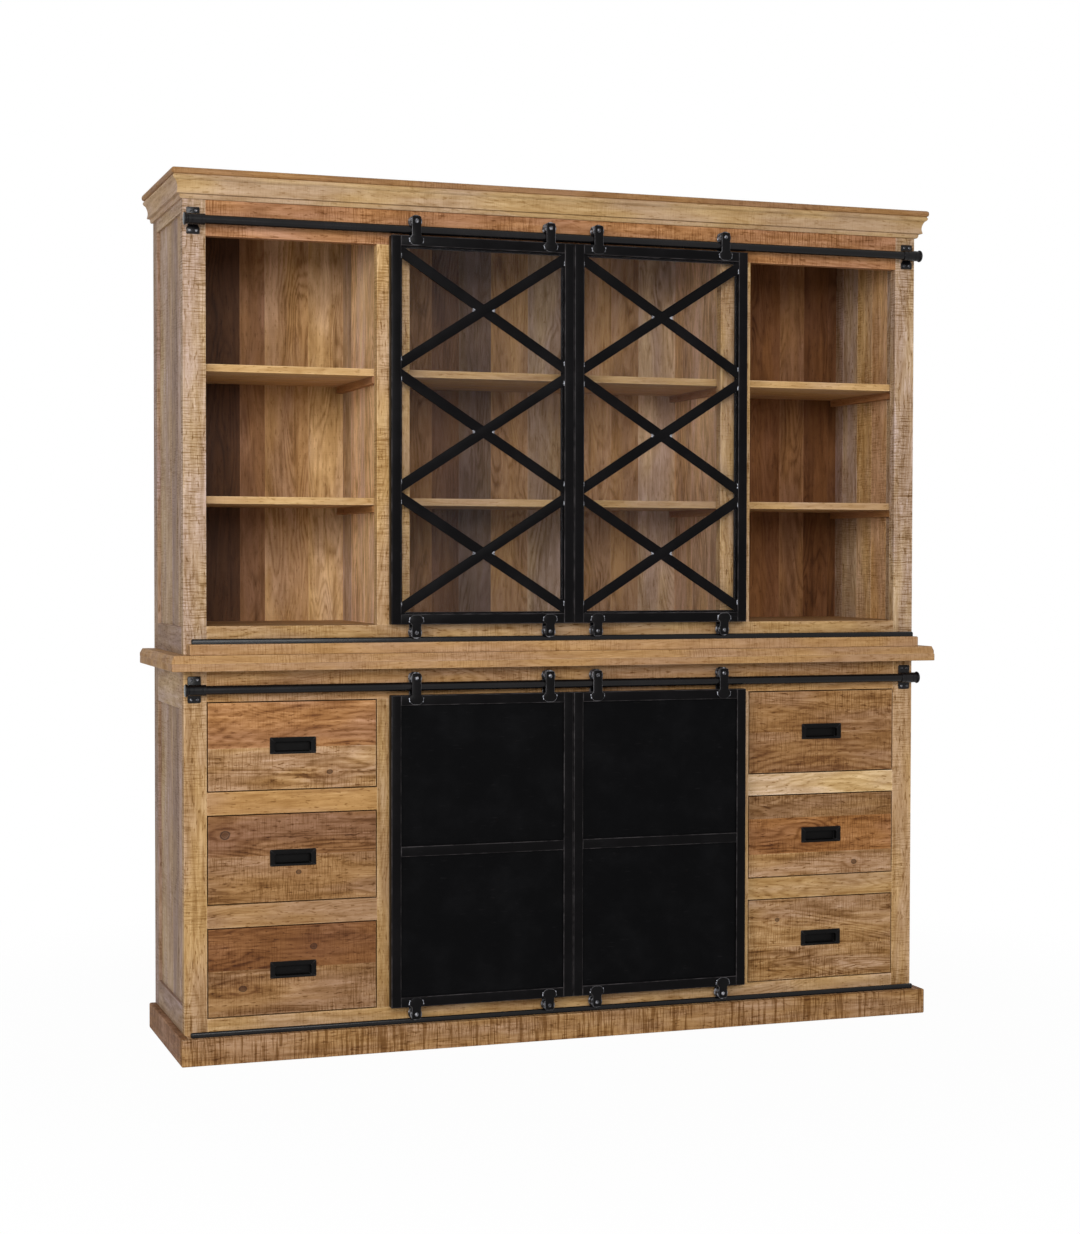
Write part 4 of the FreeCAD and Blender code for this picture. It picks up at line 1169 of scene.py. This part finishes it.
def make_lattice(name, side):
    """Flat bars between the tubes; of each crossing pair one lies 0.4 mm in front."""
    grille = Shape(name + "_grille")
    (x0, x1), (z0, z1) = door_inside(side, glass_bottom, glass_top)
    limits = [((x, 0, 0), (way, 0, 0)) for x, way in ((x0, -1), (x1, 1))]
    limits += [((0, 0, z), (0, 0, way)) for z, way in ((z0, -1), (z1, 1))]
    for number, (start, end) in enumerate(lattice_bars(side)):
        run = (end - start).normalized()
        off = Vector((-run.z, 0, run.x)) * (lattice_width / 2)
        lift = 0.4 if number % 2 else 0.0
        start, end = start - run * 30, end + run * 30
        corners = [start - off, end - off, end + off, start + off]
        solid = pushed_back([(spot.x, lattice_front + lift, spot.z) for spot in corners], 5 - lift)
        rounded(solid, [line for line in solid.edges if line.calc_length() > 60], 0.8)
        for spot, out in limits:
            geometry = solid.verts[:] + solid.edges[:] + solid.faces[:]
            cut = bmesh.ops.bisect_plane(
                solid, geom=geometry, plane_co=spot, plane_no=out, clear_outer=True
            )
            rim = [item for item in cut["geom_cut"] if isinstance(item, bmesh.types.BMEdge)]
            if rim:
                bmesh.ops.holes_fill(solid, edges=rim)
        grille.absorb(solid)
    grille.finish(frame_black, name, name + "_lattice")


def lattice_weld_lines(side):
    """Short seams where the bars cross and where they meet the tubes."""
    (x0, x1), (z0, z1) = door_inside(side, glass_bottom, glass_top)
    rise, _, slope = lattice_row(side)
    lines = []
    for row in range(3):
        middle = Vector(((x0 + x1) / 2, 0, z0 + (row + 0.5) * rise))
        for way in (1, -1):
            tip = middle + Vector((way * (lattice_width / 2 / math.sin(slope)), 0, 0))
            for up in (1, -1):
                run = Vector((way * math.cos(slope), 0, up * math.sin(slope)))
                lines.append((tip, tip + run * 5))
    meets = lattice_width / math.cos(slope) - lattice_lap / 2
    for row in range(4):
        level = z0 + row * rise
        for x in (x0, x1):
            for up in (1, -1):
                if z0 < level + up < z1 or 0 < row < 3:
                    start = Vector((x, 0, level + up * meets))
                    lines.append((start, start - Vector((0, 0, up * 9))))
    return lines


def weld_lump():
    """One ripple of a weld seam."""
    lump = Shape("weld_ripple")
    lump.lathe([(-0.8, 1.7), (-0.2, 1.9), (0.5, 1.7), (1.0, 1.1), (1.3, 0.4)], ORIGIN, UP, 8)
    return lump.mesh()


def seam_spots(lines, y, step=1.6, stray=0.4):
    """Places for the ripples of welds, along each line."""
    chance = random.Random(3)
    spots = []
    for start, end in lines:
        count = max(2, round((end - start).length / step))
        for i in range(count + 1):
            spot = start.lerp(end, i / count)
            x, z = [value + chance.uniform(-stray, stray) for value in (spot.x, spot.z)]
            spots.append((x, y, z))
    return spots


def hanger_places(side, bottom, top_edge, rod_level, bar_top):
    """Name, X, pin height, door edge and direction away from the door of each fork."""
    found = []
    for end, x in (("outer", door_outer - strap_from_edge), ("inner", door_inner + strap_from_edge)):
        found.append(("top_" + end, side * x, rod_level + rod_radius + roll_radius, top_edge, 1))
        found.append(("bottom_" + end, side * x, bar_top + roll_radius, bottom, -1))
    return found


def strap_outline(x, pin_height, edge, away):
    reach = abs(pin_height - edge)
    right = [
        (8.0, 12.5), (10.5, 11.6), (12.0, 8.5), (12.0, -reach + 1), (13.4, -reach - 1.6),
        (16.5, -reach - 4.2), (18.0, -reach - 7.0), (18.0, -reach - 13.0), (15.5, -reach - 18.5),
        (11.5, -reach - 22.4), (6.5, -reach - 24.0),
    ]
    points = [(x + dx, pin_height + away * dz) for dx, dz in right]
    return points + [(x - dx, pin_height + away * dz) for dx, dz in reversed(right)]


def make_hangers(name, places):
    """Two straps and a pin for each fork; returns the weld lines beside their feet."""
    straps = Shape(name + "_fork_straps")
    spots, facings, lines = [], [], []
    for _, x, pin_height, edge, away in places:
        outline = strap_outline(x, pin_height, edge, away)
        for y in (door_front - strap_thickness, door_back):
            straps.slab(outline, y, strap_thickness, 0.6)
        pin = [(0, 4.0), (tube_depth + 2, 4.0)]
        straps.lathe(pin, (x, door_front - 1, pin_height), (0, 1, 0), 16)
        faces = door_front - strap_thickness, door_back + strap_thickness
        spots += [(x, y, pin_height) for y in faces]
        facings += [FORWARD, (0, 1, 0)]
        for way in (1, -1):
            start = Vector((x + way * 18.3, 0, edge - away * 7.5))
            lines.append((start, start - Vector((way * 1.5, 0, away * 9.0))))
    straps.finish(hanger_black, name, name + "_hangers")
    head = Shape("pin_head")
    profile = [(-0.5, 5.3), (0.5, 5.4), (1.3, 4.9), (2.0, 3.6), (2.4, 1.8), (2.5, 0.5)]
    head.lathe(profile, ORIGIN, UP, 20)
    set_out(
        name + "_pin_heads", spots, facings, head.mesh(), wheel_steel, name,
        smallest=0.92, largest=1.0,
    )
    return lines


def make_wheels(name, places):
    """A grooved wheel in each fork, on its own body."""
    rim, groove_middle, groove_radius = 15.5, 21.7, 11.3
    end = [(12, 4.05), (12, 6.6), (11.6, 7.0), (11.0, 7.0), (11.0, 15.0), (10.5, rim)]
    groove_half = math.sqrt(groove_radius ** 2 - (groove_middle - rim) ** 2)
    profile = [(-y, radius) for y, radius in end]
    for step in range(11):
        y = -groove_half + 2 * groove_half * step / 10
        profile.append((y, groove_middle - math.sqrt(groove_radius ** 2 - y * y)))
    profile += end[::-1] + [profile[0]]
    for spot, x, pin_height, _, _ in places:
        wheel_name = name + "_wheel_" + spot
        wheel = Shape(wheel_name + "_turned")
        wheel.lathe(profile, (x, rod_line, pin_height), (0, 1, 0), 48)
        wheel.finish(wheel_steel, wheel_name, wheel_name)


def make_sheets(name, side):
    sheets = Shape(name + "_panels")
    (x0, x1), (z0, z1) = door_inside(side, steel_bottom, steel_top)
    middle, tuck = (z0 + z1) / 2, 0.5
    rail = tube_width / 2 - tuck
    for height in ((z0 - tuck, middle - rail), (middle + rail, z1 + tuck)):
        sheets.box((x0 - tuck, x1 + tuck), (door_front + 6, door_front + 8), height, 0.0)
    sheets.finish(sheet_black, name, name + "_sheets", slot="black_sheet")


def make_door(kind, word, side):
    name, glass = kind + "_door_" + word, kind == "glass"
    bottom, top_edge = (glass_bottom, glass_top) if glass else (steel_bottom, steel_top)
    rod_level = upper_rod if glass else lower_rod
    bar_top = (ledge_top if glass else plinth_top) + bar_height
    places = hanger_places(side, bottom, top_edge, rod_level, bar_top)
    tubes = Shape(name + "_tubes")
    add_door_tubes(tubes, side, bottom, top_edge, not glass)
    if glass:
        add_beads(tubes, side)
    tubes.finish(frame_black, name, name + "_frame")
    foot_lines = make_hangers(name, places)
    make_wheels(name, places)
    spots = seam_spots(foot_lines, door_front - 0.4)
    if glass:
        make_lattice(name, side)
        spots += seam_spots(lattice_weld_lines(side), lattice_front - 0.1)
        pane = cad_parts[name + "_pane"]
        pane.data.materials.clear()
        pane.data.materials.append(glass_finish)
    else:
        make_sheets(name, side)
    set_out(
        name + "_weld_beads", spots, [FORWARD] * len(spots), weld_lump(), weld_metal, name,
        turn=6.0, smallest=0.7, largest=1.25,
    )


# Drawers

# Each front's planks from the bottom up: share of the height, tone, saw marks and knot
FRONT_PLANKS = {
    "left_high": ((0.48, "straw", 0.7, (95, -12, 5)), (0.52, "amber", 0.4, (150, -120, 45))),
    "left_middle": ((0.53, "umber", 0.8, (14, 14, 5)), (0.47, "brown", 0.5, (-172, 4, 9))),
    "left_low": ((0.52, "umber", 0.8, (-128, 10, 6)), (0.48, "russet", 0.5, (52, -2, 6))),
    "right_high": ((0.5, "umber", 0.9, (20, -145, 60)), (0.5, "umber", 0.8, (20, -255, 60))),
    "right_middle": (
        (0.28, "straw", 0.9, (100, 0, 5)), (0.44, "rust", 0.7, NO_KNOT), (0.28, "umber", 0.9, NO_KNOT),
    ),
    "right_low": ((0.4, "straw", 0.9, NO_KNOT), (0.6, "straw", 0.7, (-130, 10, 5))),
}


def make_drawer(word, side, row, height):
    place = word + "_" + height
    name = "drawer_" + place
    middle = side * (mid_stile_outer + outer_stile_inner) / 2
    opening = drawer_floor + row * drawer_pitch
    gap, half_box, thin = 3, 205.25, 12
    half_front = (outer_stile_inner - mid_stile_outer) / 2 - gap
    front = case_front + 1
    low, high = opening + gap, opening + drawer_opening - gap
    pull_low = opening + drawer_opening / 2 - pull_height / 2
    hole = ((middle - 47.8, middle + 47.8), (pull_low + 4.2, pull_low + 37.8))
    boards = Boards(name + "_boards")
    level = low
    across, depth = (middle - half_front, middle + half_front), (front, front + board)
    for share, tone, sawn, knot in FRONT_PLANKS[place]:
        reach = level + (high - low) * share
        boards.box(across, depth, (level, reach), "x", tone, sawn, 0.5, hole, knot)
        level = reach
    backing, backing_depth = (middle - pull_half, middle + pull_half), (front + 15.4, front + 19.9)
    boards.box(backing, backing_depth, (pull_low + 4, pull_low + 38), "x", "straw", 0.2, 0.0)
    box_front, box_back = front + board, front + 400
    bottom, rim = opening + 0.3, opening + 172.3
    left, right = middle - half_box, middle + half_box
    for x_span in both_ends(left, right, thin):
        boards.box(x_span, (box_front, box_back), (bottom, rim), "y", "straw", 0.2)
    inner = (left + thin, right - thin)
    boards.box(inner, (box_back - thin, box_back), (bottom, rim), "x", "straw", 0.2)
    base = (bottom + 10, bottom + 16)
    boards.box(inner, (box_front, box_back - thin), base, "x", "honey", 0.1, 0.0)
    boards.finish(figured, "drawer_wood", name, body=name)
    make_pull(name, middle, pull_low, front)


def make_pull(name, middle, low, front):
    """A rounded flange round a mouth, with a pan behind it."""
    centre, mouth = low + pull_height / 2, low + 18
    rings = [
        (47.5, 16.5, 3, 14.9, centre), (47.5, 16.5, 3, 0.5, centre), (59, 21, 3, 0, centre),
        (59, 21, 3, -1.2, centre), (58.2, 20.2, 2.6, -2, centre), (48.2, 14.0, 2.6, -2, mouth),
        (46.6, 12.5, 2.0, -1.4, mouth), (46, 12, 1.6, 0, mouth), (46, 12, 1.6, 11.5, mouth),
        (44.5, 10.5, 1.2, 13.4, mouth),
    ]
    pull = Shape(name + "_cup_pull")
    outlines = []
    for half_width, half_height, corner, depth, level in rings:
        outline = rounded_outline(middle, level, half_width, half_height, corner)
        outlines.append([(x, front + depth, z) for x, z in outline])
    pull.absorb(skin(outlines))
    pull.finish(pull_black, name, name + "_pull")


# The room


def seen_by_eye(tree):
    """1 for the camera's own rays, and for those that metal and glass send on."""
    kinds = ("Is Camera Ray", "Is Glossy Ray", "Is Transmission Ray")
    seen, shine, through = (tree.node("ShaderNodeLightPath", output=kind) for kind in kinds)
    return seen.most(shine).most(through)


def make_floor():
    floor = Finish("white_floor")
    white = floor.node("ShaderNodeBsdfDiffuse", inputs={"Color": (0.93, 0.93, 0.93, 1)})
    glow = floor.node("ShaderNodeEmission", inputs={"Color": (1, 1, 1, 1), "Strength": 1.0})
    where = floor.parts(floor.places())
    away = (where[0] ** 2.0 + where[1] ** 2.0) ** 0.5
    share = away.from_to(1.1, 2.4, 0.97, 1.0) * seen_by_eye(floor)
    blended = floor.node("ShaderNodeMixShader", inputs=(share, white, glow))
    floor.node("ShaderNodeOutputMaterial", inputs={"Surface": blended})
    form = bmesh.new()
    bmesh.ops.create_grid(form, x_segments=8, y_segments=8, size=14)
    mesh = bpy.data.meshes.new("studio_floor")
    form.to_mesh(mesh)
    form.free()
    mesh.materials.append(floor.material)
    linked("studio_floor", mesh)


def make_world():
    world = bpy.data.worlds.new("studio")
    bpy.context.scene.world = world
    world.use_nodes = True
    world.node_tree.nodes.clear()
    sky = NodeTree(world.node_tree)
    room = sky.node("ShaderNodeBackground", inputs=((0.97, 0.98, 1.0, 1), 0.28))
    white = sky.node("ShaderNodeBackground", inputs=((1, 1, 1, 1), 1.0))
    blended = sky.node("ShaderNodeMixShader", inputs=(seen_by_eye(sky), room, white))
    sky.node("ShaderNodeOutputWorld", inputs={"Surface": blended})


def make_lamp(name, place, size, power):
    """A soft lamp that points at the cabinet's middle."""
    lamp = bpy.data.lights.new(name, "AREA")
    lamp.shape, lamp.size, lamp.size_y, lamp.energy = "RECTANGLE", *size, power
    holder = linked(name, lamp)
    holder.location = place
    holder.rotation_mode = "QUATERNION"
    holder.rotation_quaternion = (Vector((0, 0, 1.1)) - Vector(place)).to_track_quat("-Z", "Y")


def make_camera():
    """The photograph's own place, direction and lens."""
    lens = bpy.data.cameras.new("camera")
    lens.sensor_width, lens.lens, lens.clip_start, lens.clip_end = 36.0, 64.33, 0.1, 60.0
    turn, dip, lean = [math.radians(angle) for angle in (-19.132, 1.578, 0.100)]
    ahead = Vector((-math.sin(turn) * math.cos(dip), math.cos(turn) * math.cos(dip), -math.sin(dip)))
    level = Vector((math.cos(turn), math.sin(turn), 0))
    above = level.cross(ahead)
    right = level * math.cos(lean) + above * math.sin(lean)
    up = above * math.cos(lean) - level * math.sin(lean)
    place = Matrix((right, up, -ahead)).transposed().to_4x4()
    place.translation = Vector((-1955.2, -5408.9 + case_front, 1254.0)) * MM
    holder = linked("camera", lens)
    holder.matrix_world = place
    bpy.context.scene.camera = holder


for make in (
    make_plinth, make_face_frames, make_sides, make_backs, make_insides, make_shelves,
    make_runners, make_worktop, make_cornice, make_rods, make_brackets, make_guide_bars,
):
    make()
for side_word, side_sign in SIDES:
    make_door("glass", side_word, side_sign)
    make_door("steel", side_word, side_sign)
    for row_number, row_height in enumerate(("low", "middle", "high")):
        make_drawer(side_word, side_sign, row_number, row_height)

make_floor()
make_world()
make_lamp("key", (-2.2, -8.3, 3.4), (3.6, 3.0), 375)
make_lamp("left", (-6.0, -6.2, 2.6), (3.2, 3.0), 210)
make_camera()
bpy.context.scene.view_settings.view_transform = "Standard"
